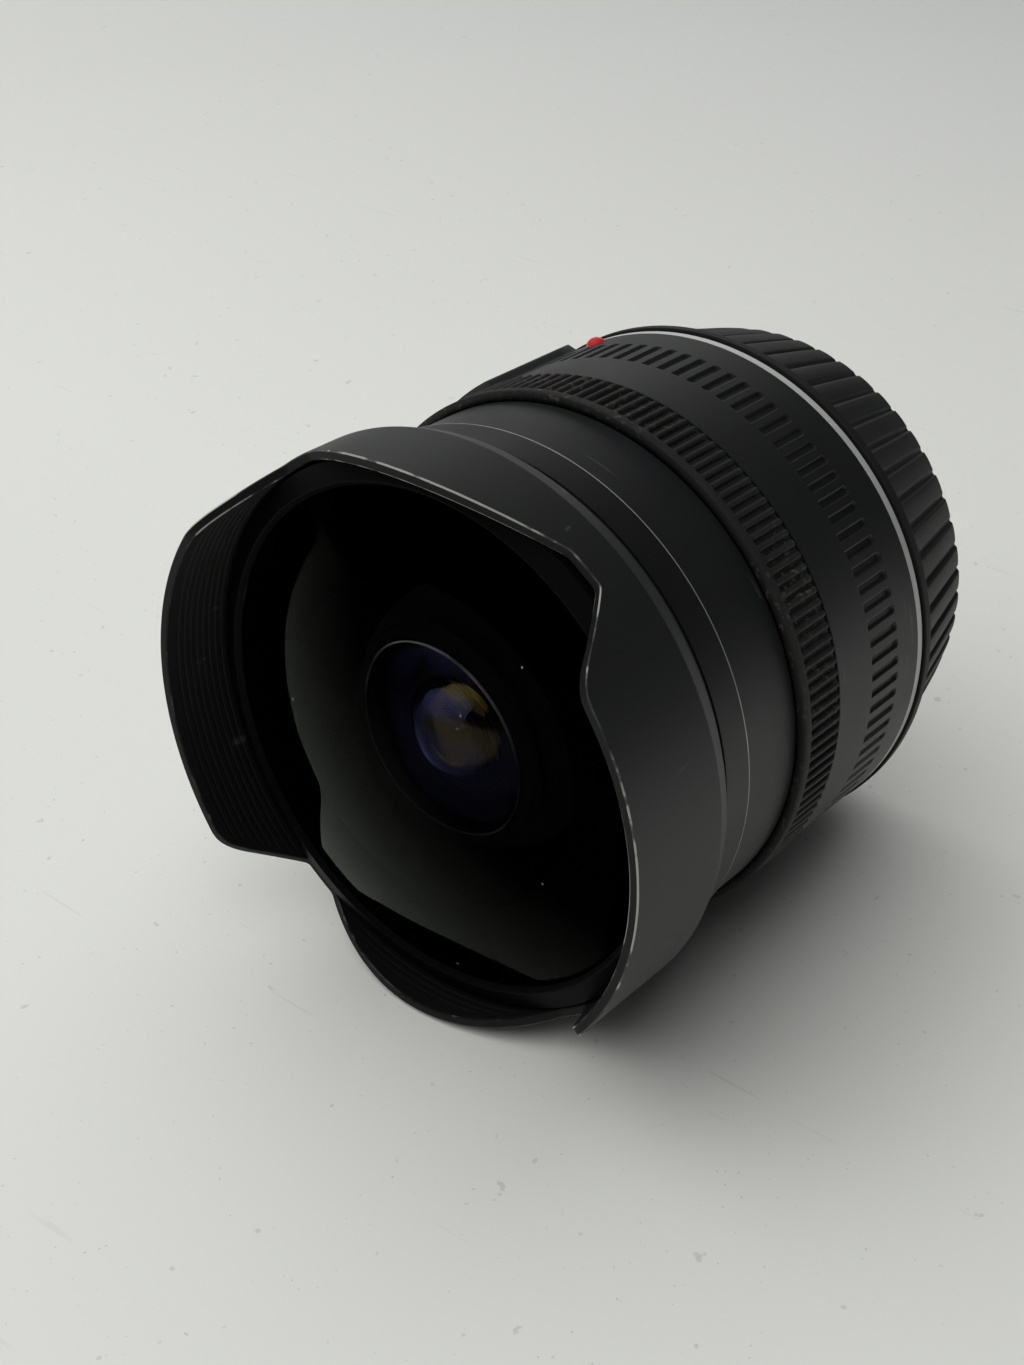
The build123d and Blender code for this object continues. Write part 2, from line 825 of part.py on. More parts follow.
def af_switch():
    """Sliding knob of the mode switch, with a grip rib across it."""
    floor = rear_barrel_inner + switch_floor + running_gap
    spare = (switch_slot_length - switch_length - switch_travel) / 2
    station = -switch_slot_rear - spare - switch_length / 2
    width = switch_slot_width - 2 * running_gap
    depth = panel_radius + switch_height / 2 - floor
    knob = radial_box(depth, switch_length, width, floor, switch_angle, station)
    knob += radial_box(depth + switch_height / 2, switch_rib_width, width, floor, switch_angle, station)
    return knob


def grey_trim_ring():
    """Pale ring let into the rear edge of the housing."""
    inner = rear_barrel_radius - trim_depth + seat_gap
    return tube(rear_barrel_radius, inner, rear_barrel_rear_y - trim_width + seat_gap, rear_barrel_rear_y)


def index_dot():
    """Red bead that shows how to fit the lens."""
    seat = math.sqrt(rear_barrel_radius ** 2 - dot_radius ** 2)
    bead = Sphere(dot_radius) & Pos(dot_radius, 0, 0) * Box(2 * dot_radius, 2 * dot_radius, 2 * dot_radius)
    return clock(dot_angle) * Pos(rear_barrel_radius + seat_gap, -dot_station, 0) * bead


def bayonet_mount():
    """Metal mount: seating flange, boss in the housing, bayonet tube and its three lugs."""
    outline = [
        (mount_bore_radius, -mount_step),
        (mount_boss_inner, -mount_step),
        (mount_boss_inner, guide_rear_y),
        (mount_boss_radius, guide_rear_y),
        (mount_boss_radius, rear_barrel_rear_y),
        (mount_radius, rear_barrel_rear_y),
        (mount_radius, 0),
        (tube_radius, 0),
        (tube_radius, tube_length),
        (mount_bore_radius, tube_length),
    ]
    mount = turned(outline)
    for index in range(lug_count):
        middle = lug_first_angle + index * full_turn / lug_count
        root = (mount_bore_radius + tube_radius) / 2
        lug = sector(lug_radius, root, middle - lug_span / 2, middle + lug_span / 2)
        mount += slab(lug, lug_start, lug_start + lug_thickness)
    for index in range(mount_screw_count):
        angle = mount_screw_angle + index * full_turn / mount_screw_count
        hole = mount_screw_shank + seat_gap
        head = mount_screw_head + seat_gap
        mount -= rod(hole, guide_rear_y - overrun, overrun, mount_screw_circle, angle)
        mount -= rod(head, -mount_screw_head_height - 2 * seat_gap, overrun, mount_screw_circle, angle)
    return mount


def mount_screws():
    """Four screws of the mount, with crossed slots in sunk heads."""
    screws = []
    rear = -seat_gap
    for index in range(mount_screw_count):
        angle = mount_screw_angle + index * full_turn / mount_screw_count
        head = rod(mount_screw_head, rear - mount_screw_head_height, rear, mount_screw_circle, angle)
        shank = rod(mount_screw_shank, rear - mount_screw_length, rear, mount_screw_circle, angle)
        slot = mount_screw_head * 2 / 3
        place = Pos(*clock_point(mount_screw_circle, angle)) * Rot(0, 0, angle)
        cross = Rectangle(slot * 2, slot / 3) + Rectangle(slot / 3, slot * 2)
        screws.append(head + shank - slab(place * cross, rear - mount_screw_head_height / 2, rear + overrun))
    return screws


def contact_places():
    """Clock angles of the electrical contacts."""
    step = pin_span / (pin_count - 1)
    return [contact_angle - pin_span / 2 + index * step for index in range(pin_count)]


def contact_block():
    """Block of the electrical contacts inside the bayonet tube."""
    half = contact_span / 2
    face = sector(contact_outer, contact_inner, contact_angle - half, contact_angle + half)
    block = slab(face, -contact_front, contact_rear)
    circle = (contact_inner + contact_outer) / 2
    for angle in contact_places():
        block -= rod(pin_radius + seat_gap, -contact_front - overrun, contact_rear + overrun, circle, angle)
    return block


def contact_pins():
    """Gilded contact pins that stand out of their block."""
    circle = (contact_inner + contact_outer) / 2
    return [rod(pin_radius, -contact_front, contact_rear + pin_stand, circle, angle) for angle in contact_places()]


def circuit_board():
    """Curved board with three chips between the guide flange and the works."""
    rear = guide_rear_y - guide_flange_thickness - board_set_back
    front = rear - board_thickness
    board = slab(sector(board_outer, board_inner, board_start, board_end), front, rear)
    for angle in chip_angles:
        board += radial_box(chip_width, chip_height * 2, chip_length, chip_inner, angle, front)
    return board - tube(board_outer + overrun, board_inner - overrun, rear, rear + overrun)


def rear_baffle():
    """Rear light baffle with a rectangular window and the slot of a gelatin filter."""
    front = -mount_step - baffle_thickness
    window = Rectangle(baffle_window_x, baffle_window_z)
    baffle = slab(Circle(mount_boss_inner - running_gap) - window, front, -mount_step)
    width = baffle_window_z + 2 * filter_slot_width / 10
    pocket = Pos(0, front + baffle_thickness / 2, 0) * Box(filter_slot_width, filter_slot, width)
    return baffle - pocket


def gear_bridge():
    """Small plate with two posts and the pin that the reduction gear turns on."""
    start = gear_angle - bridge_half_angle
    end = gear_angle + bridge_half_angle
    bridge = slab(sector(bridge_outer, bridge_inner, start, end), bridge_y, bridge_y + bridge_thickness)
    post_rear = guide_rear_y - guide_flange_thickness
    for angle in (start + bridge_half_angle / 4, end - bridge_half_angle / 4):
        bridge += rod(bridge_post_radius, bridge_y, post_rear, bridge_post_circle, angle)
    return bridge + rod(shaft_radius, -sector_front - loose_gap, bridge_y, gear_centre, gear_angle)


def reduction_gear():
    """Compound gear: the wheel is driven by the motor, its pinion drives the cam ring."""
    centre = Pos(*clock_point(gear_centre, gear_angle))
    pinion = gear_sketch(drive_module, drive_pinion_teeth, gear_angle + half_turn / drive_pinion_teeth)
    wheel = gear_sketch(train_module, train_wheel_teeth, train_direction())
    hub_rear = -sector_front + sector_width
    gear = slab(centre * pinion, -sector_front, hub_rear)
    gear += slab(centre * Circle(shaft_radius + train_module * 4), hub_rear, train_y)
    gear += slab(centre * wheel, train_y, train_y + train_width)
    return gear - rod(shaft_radius + running_gap, -sector_front - overrun, bridge_y, gear_centre, gear_angle)


def train_direction():
    """Local angle from the reduction gear's centre to the motor pinion's centre."""
    first = clock_point(gear_centre, gear_angle)
    second = clock_point(gear_centre, motor_gear_angle)
    return math.degrees(math.atan2(second[1] - first[1], second[0] - first[0]))


def motor_pinion():
    """Pinion and shaft of the focus motor."""
    centre = Pos(*clock_point(gear_centre, motor_gear_angle))
    phase = train_direction() + half_turn + half_turn / train_pinion_teeth
    gear = slab(centre * gear_sketch(train_module, train_pinion_teeth, phase), train_y, train_y + train_width)
    start = -motor_front + motor_length - shaft_radius * 2
    return gear + rod(shaft_radius, start, train_y, gear_centre, motor_gear_angle)


def af_motor():
    """Arc-shaped focus motor in the space between the cam ring and the housing."""
    end = motor_start_angle + motor_span
    body = slab(sector(motor_outer, motor_inner, motor_start_angle, end), -motor_front, -motor_front + motor_length)
    rear = -motor_front + motor_length
    front = rear - shaft_radius * 2 - running_gap
    return body - rod(shaft_radius + running_gap, front, rear + overrun, gear_centre, motor_gear_angle)


def rear_cell():
    """Turned cell of the rear elements, with a flange on the iris cover."""
    front = rear_cell_front_y
    flange_rear = front + rear_cell_flange
    bore_5 = glass_edges[4] + running_gap
    bore_6 = glass_edges[5] + running_gap
    bore_8 = glass_edges[7] + running_gap
    lip = glass_edges[4] - rear_cell_lip
    lip_front = rear_face(5, glass_edges[4]) + seat_gap
    lip_rear = front_face(6, lip) - seat_gap
    seat_8 = front_face(8, bore_6) - seat_gap
    outline = [
        (bore_5, front),
        (iris_wall_inner, front),
        (iris_wall_inner, flange_rear),
        (rear_cell_radius, flange_rear),
        (rear_cell_radius, -rear_cell_rear),
        (bore_8, -rear_cell_rear),
        (bore_8, seat_8),
        (bore_6, seat_8),
        (bore_6, lip_rear),
        (lip, lip_rear),
        (lip, lip_front),
        (bore_5, lip_front),
    ]
    return turned(outline)


def iris_ring_turn():
    """Turn of the drive ring that swings the blades shut, from the pin's path about its pivot."""
    swing = math.radians(iris_blade_turn)
    arm = iris_pivot_circle - iris_pin_circle
    return math.degrees(math.atan2(arm * math.sin(swing), iris_pivot_circle - arm * math.cos(swing)))


def iris_base():
    """Cup of the iris, with the pivot holes and a side window for the gear sector."""
    plate_rear = iris_front_y + iris_plate
    base = tube(iris_wall_outer, iris_opening, iris_front_y, plate_rear)
    base += tube(iris_wall_outer, iris_wall_inner, plate_rear, iris_cover_y)
    start = iris_gear_angle - iris_window_half_angle
    end = iris_gear_angle + iris_window_half_angle
    gap = sector(iris_wall_outer + overrun, iris_wall_inner - loose_gap, start, end)
    base -= slab(gap, plate_rear, iris_cover_y + overrun)
    for index in range(iris_blade_count):
        angle = index * full_turn / iris_blade_count
        hole = iris_pin_radius + running_gap
        base -= rod(hole, iris_front_y - overrun, plate_rear + overrun, iris_pivot_circle, angle)
    return base


def iris_blade(index):
    """One blade in its own layer, with its pivot pin to the front and its drive pin to the rear."""
    angle = index * full_turn / iris_blade_count
    front = iris_layers_y + index * iris_layer
    rear = front + iris_blade_thickness
    start = angle + iris_blade_start
    leaf = sector(iris_blade_outer, iris_blade_inner, start, start + iris_blade_span)
    leaf += sector(iris_tab_outer, iris_blade_inner, start, angle + iris_tab_end)
    blade = slab(leaf, front, rear)
    blade += rod(iris_pin_radius, iris_front_y + running_gap, rear, iris_pivot_circle, angle)
    return blade + rod(iris_pin_radius, front, iris_ring_y + iris_ring_thickness, iris_pin_circle, angle)


def iris_drive_ring():
    """Ring with five short slots that swing the blades, and a gear sector at one side."""
    face = Circle(iris_ring_outer) - Circle(iris_ring_inner)
    arm = iris_pivot_circle - iris_pin_circle
    swing = math.radians(iris_blade_turn)
    far = math.hypot(iris_pivot_circle - arm * math.cos(swing), arm * math.sin(swing))
    middle = (far + iris_pin_circle) / 2
    width = 2 * (iris_pin_radius + running_gap)
    for index in range(iris_blade_count):
        angle = index * full_turn / iris_blade_count
        slot = SlotCenterToCenter(far - iris_pin_circle + running_gap, width)
        face -= Pos(*clock_point(middle, angle)) * Rot(0, 0, angle) * slot
    tooth = full_turn / iris_sector_teeth
    start = iris_gear_angle - iris_sector_spare * tooth
    end = iris_gear_angle + iris_ring_turn() + (iris_sector_spare + 1 / 2) * tooth
    tip = iris_module * (iris_sector_teeth / 2 + 1)
    teeth = gear_sketch(iris_module, iris_sector_teeth, iris_gear_angle + half_turn)
    face += teeth & sector(tip, iris_ring_outer - iris_module, start, end)
    return slab(face, iris_ring_y, iris_ring_y + iris_ring_thickness)


def iris_cover():
    """Rear cover of the iris, with an ear for the motor."""
    start = iris_gear_angle - iris_ear_half_angle
    end = iris_gear_angle + iris_ear_half_angle
    face = Circle(iris_wall_outer) - Circle(iris_cover_opening)
    face += sector(iris_ear_reach, iris_wall_inner, start, end)
    cover = slab(face, iris_cover_y, iris_cover_y + iris_plate)
    hole = shaft_radius + running_gap
    return cover - rod(hole, iris_cover_y - overrun, iris_cover_y + overrun, iris_gear_centre, iris_gear_angle)


def iris_motor():
    """Small stepping motor of the iris."""
    front = iris_cover_y + iris_plate
    body = rod(iris_motor_radius, front, front + iris_motor_length, iris_gear_centre, iris_gear_angle)
    bore_rear = front + shaft_radius * 2 + running_gap
    return body - rod(shaft_radius + running_gap, front - overrun, bore_rear, iris_gear_centre, iris_gear_angle)


def iris_pinion():
    """Pinion and shaft of the iris motor."""
    centre = Pos(*clock_point(iris_gear_centre, iris_gear_angle))
    phase = iris_gear_angle + half_turn / iris_pinion_teeth
    gear = gear_sketch(iris_module, iris_pinion_teeth, phase)
    pinion = slab(centre * gear, iris_ring_y, iris_ring_y + iris_ring_thickness)
    rear = iris_cover_y + iris_plate + shaft_radius * 2
    return pinion + rod(shaft_radius, iris_ring_y, rear, iris_gear_centre, iris_gear_angle)


def cap_rib_face(peak):
    """Plan sketch of the cap's saw-toothed rim."""
    pitch = full_turn / cap_rib_count
    points = []
    for index in range(cap_rib_count):
        points.append(clock_point(peak, index * pitch))
        points.append(clock_point(peak - cap_rib_depth, (index + cap_valley_share) * pitch))
    return make_face(Polyline(*points, close=True))


def rear_cap():
    """Ribbed cap that takes the place of the camera on the bayonet mount."""
    rim_front = -cap_rim_front
    ribs_rear = cap_length - cap_end_round
    plan = Plane(origin=(0, cap_rim_rear, 0), x_dir=(1, 0, 0), z_dir=(0, 1, 0))
    rise = Pos(0, 0, ribs_rear - cap_rim_rear)
    shell = plan * loft([cap_rib_face(cap_rib_front_radius), rise * cap_rib_face(cap_end_radius)], ruled=True)
    valley_end = cap_end_radius - cap_rib_depth
    valley_front = cap_rib_front_radius - cap_rib_depth
    rim_inner = mount_radius + loose_gap
    outline = [
        (0, rim_front),
        (cap_rim_radius - cap_rim_bevel, rim_front),
        (cap_rim_radius, rim_front + cap_rim_bevel),
        (cap_rim_radius, cap_rim_rear),
        (valley_front, cap_rim_rear),
        (valley_end, ribs_rear),
        (valley_end - cap_end_round, cap_length),
        (0, cap_length),
    ]
    hollow = [
        (0, rim_front - overrun),
        (rim_inner, rim_front - overrun),
        (rim_inner, running_gap),
        (valley_front - cap_shell_wall, running_gap),
        (valley_end - cap_shell_wall, cap_length - cap_floor_thickness),
        (0, cap_length - cap_floor_thickness),
    ]
    shell = shell + turned(outline) - turned(hollow)
    tube_inner = cap_inner_tube_radius - cap_inner_tube_wall
    shell += tube(cap_inner_tube_radius, tube_inner, loose_gap, cap_length - cap_floor_thickness + seat_gap)
    gap_middle = lug_first_angle + half_turn / lug_count
    for index in range(lug_count):
        middle = gap_middle + index * full_turn / lug_count
        tab = sector(tube_inner + seat_gap, cap_tab_inner, middle - cap_tab_span / 2, middle + cap_tab_span / 2)
        shell += slab(tab, cap_tab_front, cap_tab_front + cap_tab_thickness)
    return shell - rod(cap_recess_radius, cap_length - cap_recess_depth, cap_length + overrun)


def save(name, shape):
    """Write one node, a single solid or a group of like solids."""
    solids = shape if isinstance(shape, list) else [shape]
    whole = Compound(children=[solid for part in solids for solid in part.solids()])
    export_step(whole, f"parts/{name}.step")
    print(name, len(whole.solids()), round(sum(solid.volume for solid in whole.solids()), 2))


def main():
    """Build and write every node."""
    os.makedirs("parts", exist_ok=True)
    for maker in (
        petal_hood, hood_screws, front_ring, front_cell, retaining_rings, front_barrel, focus_sleeve, cam_rollers,
        inner_barrel, cam_ring, focus_ring, focus_grip, scale_drum, rear_barrel, scale_window, af_switch,
        grey_trim_ring, index_dot, bayonet_mount, mount_screws, contact_block, contact_pins, circuit_board,
        rear_baffle, gear_bridge, reduction_gear, motor_pinion, af_motor, rear_cell, iris_base, iris_drive_ring,
        iris_cover, iris_motor, iris_pinion, rear_cap,
    ):
        save(maker.__name__, maker())
    for index in range(iris_blade_count):
        save(f"iris_blade_{index + 1}", iris_blade(index))
    save("lens_1", glass(1, glass_1_rear_half, glass_1_bevel))
    save("lens_2", glass(2, glass_2_rear_half))
    for number in range(3, len(glass_edges) + 1):
        save(f"lens_{number}", glass(number))


if __name__ == "__main__":
    main()
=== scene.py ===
import logging
import math
from dataclasses import dataclass
from enum import Enum
from typing import Optional, Sequence

import bpy
import numpy as np
from mathutils import Matrix, Vector


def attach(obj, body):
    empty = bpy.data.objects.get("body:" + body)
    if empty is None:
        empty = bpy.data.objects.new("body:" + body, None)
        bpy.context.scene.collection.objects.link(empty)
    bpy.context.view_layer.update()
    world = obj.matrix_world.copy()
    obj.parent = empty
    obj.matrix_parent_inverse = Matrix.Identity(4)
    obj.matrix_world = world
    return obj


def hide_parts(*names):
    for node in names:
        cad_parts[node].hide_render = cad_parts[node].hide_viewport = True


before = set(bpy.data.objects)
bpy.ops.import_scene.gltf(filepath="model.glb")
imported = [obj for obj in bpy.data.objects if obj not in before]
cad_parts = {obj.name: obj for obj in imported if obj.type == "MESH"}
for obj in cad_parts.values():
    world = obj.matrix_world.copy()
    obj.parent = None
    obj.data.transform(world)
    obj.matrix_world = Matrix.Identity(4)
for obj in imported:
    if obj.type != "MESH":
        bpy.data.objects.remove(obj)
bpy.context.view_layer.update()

# Looks of a fisheye lens with a four-petal hood and a rear cap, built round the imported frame.
# The optical axis is Y and the glass looks along -Y. Sizes in the classes are millimetres, meshes are metres.
# Clock angles are degrees, right-handed about +Y from -X, so +Z is at 90.

LOG = logging.getLogger("lens")
MM = 0.001
FULL_TURN = 360.0
LATHE_COUNT = 320
GLASS_COUNT = 192
Array = np.ndarray
Triple = tuple[float, float, float]
Corner = Triple
Colour = Triple
Piece = bpy.types.Object
Socket = bpy.types.NodeSocket


class Shading(Enum):
    """How the faces of a mesh are shaded."""

    SMOOTH = True
    FLAT = False


# Geometry


def on_clock(radius: Array, angle: Array, station: Array) -> Array:
    """Points in metres at a radius, a clock angle and a station.

    x is minus radius times the cosine of the angle, z is radius times its sine, y is the station.

    Args:
        radius: distances from the axis in millimetres.
        angle: clock angles in degrees.
        station: places along the axis in millimetres.

    Returns:
        An array with one more axis of length 3 than the broadcast inputs.
    """
    radius, angle, station = np.broadcast_arrays(radius, angle, station)
    turn = np.radians(angle)
    return np.stack([-radius * np.cos(turn), station, radius * np.sin(turn)], axis=-1) * MM


def rounded_outline(
        corners: Sequence[Corner], segments: int = 3, support: float = 0.1, closed: bool = True) -> Array:
    """Outline with arcs for corners and one more point on each side of an arc, which keeps the flats flat.

    At each corner the arc is the quadratic curve p = (1 - t)^2 a + 2 t (1 - t) c + t^2 b between two points
    a and b at the rounding distance from the corner c.

    Args:
        corners: (radius, station, rounding) in order.
        segments: pieces of each arc.
        support: distance from the arc to its support point.
        closed: whether the last corner joins the first; an open outline keeps its end points as they are.

    Returns:
        An array of (radius, station) rows.
    """
    points = np.array([(c[0], c[1]) for c in corners], float)
    count = len(points)
    share = np.linspace(0, 1, segments + 1)[:, None]
    rows: list[Array] = []
    for index, here in enumerate(points):
        if not closed and index in (0, count - 1):
            rows.append(here[None, :])
            continue
        before = points[index - 1] - here
        after = points[(index + 1) % count] - here
        reach_before = np.linalg.norm(before)
        reach_after = np.linalg.norm(after)
        cut = min(corners[index][2], 0.3 * reach_before, 0.3 * reach_after)
        extra = min(support, 0.15 * reach_before, 0.15 * reach_after)
        start = here + before / reach_before * cut
        end = here + after / reach_after * cut
        rows.append((here + before / reach_before * (cut + extra))[None, :])
        rows.append((1 - share) ** 2 * start + 2 * share * (1 - share) * here + share**2 * end)
        rows.append((here + after / reach_after * (cut + extra))[None, :])
    return np.concatenate(rows)


def anticlockwise(outline: Array) -> Array:
    """Turn a closed outline round if its shoelace sum says that it runs clockwise.

    Args:
        outline: (radius, station) rows.

    Returns:
        The rows in anticlockwise order.
    """
    following = np.roll(outline, -1, axis=0)
    area = np.sum(outline[:, 0] * following[:, 1] - following[:, 0] * outline[:, 1])
    return outline[::-1] if area < 0 else outline


def make_mesh(name: str, points: Array, faces: Sequence, shading: Shading = Shading.SMOOTH) -> Piece:
    """Object at the origin from points in metres and faces as index rows.

    Args:
        name: the piece's name.
        points: (n, 3) array.
        faces: quads and triangles that index the points.
        shading: smooth or flat faces.

    Returns:
        The linked object.
    """
    mesh = bpy.data.meshes.new(name)
    mesh.from_pydata(points.reshape(-1, 3).tolist(), [], [list(f) for f in faces])
    mesh.update()
    mesh.polygons.foreach_set("use_smooth", np.full(len(mesh.polygons), shading.value))
    piece = bpy.data.objects.new(name, mesh)
    bpy.context.scene.collection.objects.link(piece)
    return piece


def grid_faces(rows: int, columns: int, wrap_rows: bool, wrap_columns: bool) -> Array:
    """Quads of a grid whose rows run along the axis and whose columns run round the clock, facing outward.

    Args:
        rows: number of point rows.
        columns: number of point columns.
        wrap_rows: whether the last row joins the first.
        wrap_columns: whether the last column joins the first.

    Returns:
        (m, 4) array of point indices.
    """
    row = np.arange(rows if wrap_rows else rows - 1)
    column = np.arange(columns if wrap_columns else columns - 1)
    i, j = np.meshgrid(row, column, indexing="ij")
    i2 = (i + 1) % rows
    j2 = (j + 1) % columns
    quads = np.stack([i * columns + j, i * columns + j2, i2 * columns + j2, i2 * columns + j], axis=-1)
    return quads.reshape(-1, 4)


def grid_piece(name: str, points: Array) -> Piece:
    """Piece from a (rows, columns, 3) grid of points in metres that closes on itself both ways."""
    return make_mesh(name, points, grid_faces(*points.shape[:2], True, True).tolist())


def lathe(name: str, outline: Array, count: int = LATHE_COUNT) -> Piece:
    """Turn a closed outline about the axis: every row of the grid is one circle.

    Args:
        name: the piece's name.
        outline: (radius, station) rows, either way round.
        count: points round the clock.

    Returns:
        The closed piece.
    """
    return grid_piece(name, circles(anticlockwise(outline), count))


def circles(outline: Array, count: int) -> Array:
    """Grid of points in metres with one circle for each (radius, station) row of an outline."""
    angle = np.arange(count) * FULL_TURN / count
    return on_clock(outline[:, None, 0], angle[None, :], outline[:, None, 1])


def pole_fans(rows: int, columns: int) -> Array:
    """Triangles that close a grid at two poles, whose points follow those of the grid.

    Args:
        rows: number of point rows.
        columns: number of point columns.

    Returns:
        (2 * columns, 3) array that takes turns between the first pole and the second.
    """
    here = np.arange(columns)
    following = (here + 1) % columns
    last = (rows - 1) * columns
    first_pole = np.full(columns, rows * columns)
    fans = [[first_pole, following, here], [first_pole + 1, last + here, last + following]]
    return np.transpose(fans, (2, 0, 1)).reshape(-1, 3)


def polar_piece(name: str, points: Array, poles: Array) -> Piece:
    """Piece from a (rows, columns, 3) grid that runs from one pole, over the edge, to another pole.

    Args:
        name: the piece's name.
        points: grid points in metres.
        poles: the two poles in metres.

    Returns:
        The closed piece, with a fan of triangles at each pole.
    """
    rows, columns = points.shape[:2]
    faces = grid_faces(rows, columns, False, True).tolist() + pole_fans(rows, columns).tolist()
    return make_mesh(name, np.concatenate([points.reshape(-1, 3), poles]), faces)


def axis_points(stations: Sequence[float]) -> Array:
    """Points in metres on the axis."""
    return np.array([(0, station * MM, 0) for station in stations])


def solid_of_revolution(name: str, outline: Array, count: int = GLASS_COUNT) -> Piece:
    """Turn an open outline whose two ends lie on the axis.

    Args:
        name: the piece's name.
        outline: (radius, station) rows from the front pole, over the edge, to the rear pole.
        count: points round the clock.

    Returns:
        The closed piece.
    """
    return polar_piece(name, circles(outline[1:-1], count), axis_points(outline[[0, -1], 1]))


def arc_bar(outline: Array, angle: Array) -> tuple[Array, list]:
    """Points and faces of a closed outline carried along an arc, with flat ends.

    Args:
        outline: (radius, station) rows, anticlockwise.
        angle: clock angles along the arc.

    Returns:
        Grid points in metres and faces that index them.
    """
    points = on_clock(outline[:, None, 0], angle[None, :], outline[:, None, 1])
    rows, columns = points.shape[:2]
    faces = grid_faces(rows, columns, True, False).tolist()
    start = [row * columns for row in range(rows)]
    faces.append(start)
    faces.append([index + columns - 1 for index in reversed(start)])
    return points.reshape(-1, 3), faces


def joined(name: str, parts: Sequence[tuple[Array, list]]) -> Piece:
    """One flat-faced piece from several sets of points and faces.

    Args:
        name: the piece's name.
        parts: (points, faces) pairs, whose faces index their own points.

    Returns:
        The linked object.
    """
    starts = np.cumsum([0] + [len(points) for points, _ in parts])
    faces = [
        [index + start for index in face]
        for start, (_, part) in zip(starts.tolist(), parts) for face in part]
    return make_mesh(name, np.concatenate([points for points, _ in parts]), faces, Shading.FLAT)


class GridRows:
    """Rows of a grid over the clock, collected one after the other."""

    def __init__(self, angle: Array) -> None:
        """Start with no rows.

        Args:
            angle: clock angles of the columns, in degrees.
        """
        self.angle = angle
        self.radii: list[Array] = []
        self.stations: list[Array] = []

    def add(self, radius: object, station: object) -> None:
        """Add one row, whose radius and station are one number or one for each angle."""
        self.radii.append(np.broadcast_to(np.asarray(radius, float), self.angle.shape))
        self.stations.append(np.broadcast_to(np.asarray(station, float), self.angle.shape))

    def follow(self, outline: Sequence) -> None:
        """Add one plain ring for each (radius, station) row of an outline."""
        for radius, station in outline:
            self.add(radius, station)

    def arrays(self) -> tuple[Array, Array]:
        """Radii and stations of all the rows."""
        return np.stack(self.radii), np.stack(self.stations)

    def points(self) -> Array:
        """Grid points in metres."""
        radius, station = self.arrays()
        return on_clock(radius, self.angle[None, :], station)


def store(piece: Piece, name: str, values: Array) -> None:
    """Keep one number per point on a piece, for a material to read."""
    attribute = piece.data.attributes.new(name, "FLOAT", "POINT")
    attribute.data.foreach_set("value", values.astype(np.float32).ravel())


def smooth_step(value: Array) -> Array:
    """0 below 0, 1 above 1, and 3v^2 - 2v^3 between."""
    v = np.clip(value, 0, 1)
    return v * v * (3 - 2 * v)


def merged(values: Sequence[float], gap: float) -> Array:
    """Sorted values with those nearer than a gap to the one before left out.

    Args:
        values: numbers in any order.
        gap: least distance between two kept values.

    Returns:
        The kept values.
    """
    ordered = np.unique(np.round(np.array(values, float), 6))
    keep = [ordered[0]]
    for value in ordered[1:]:
        if value - keep[-1] >= gap:
            keep.append(value)
    return np.array(keep)


# Materials


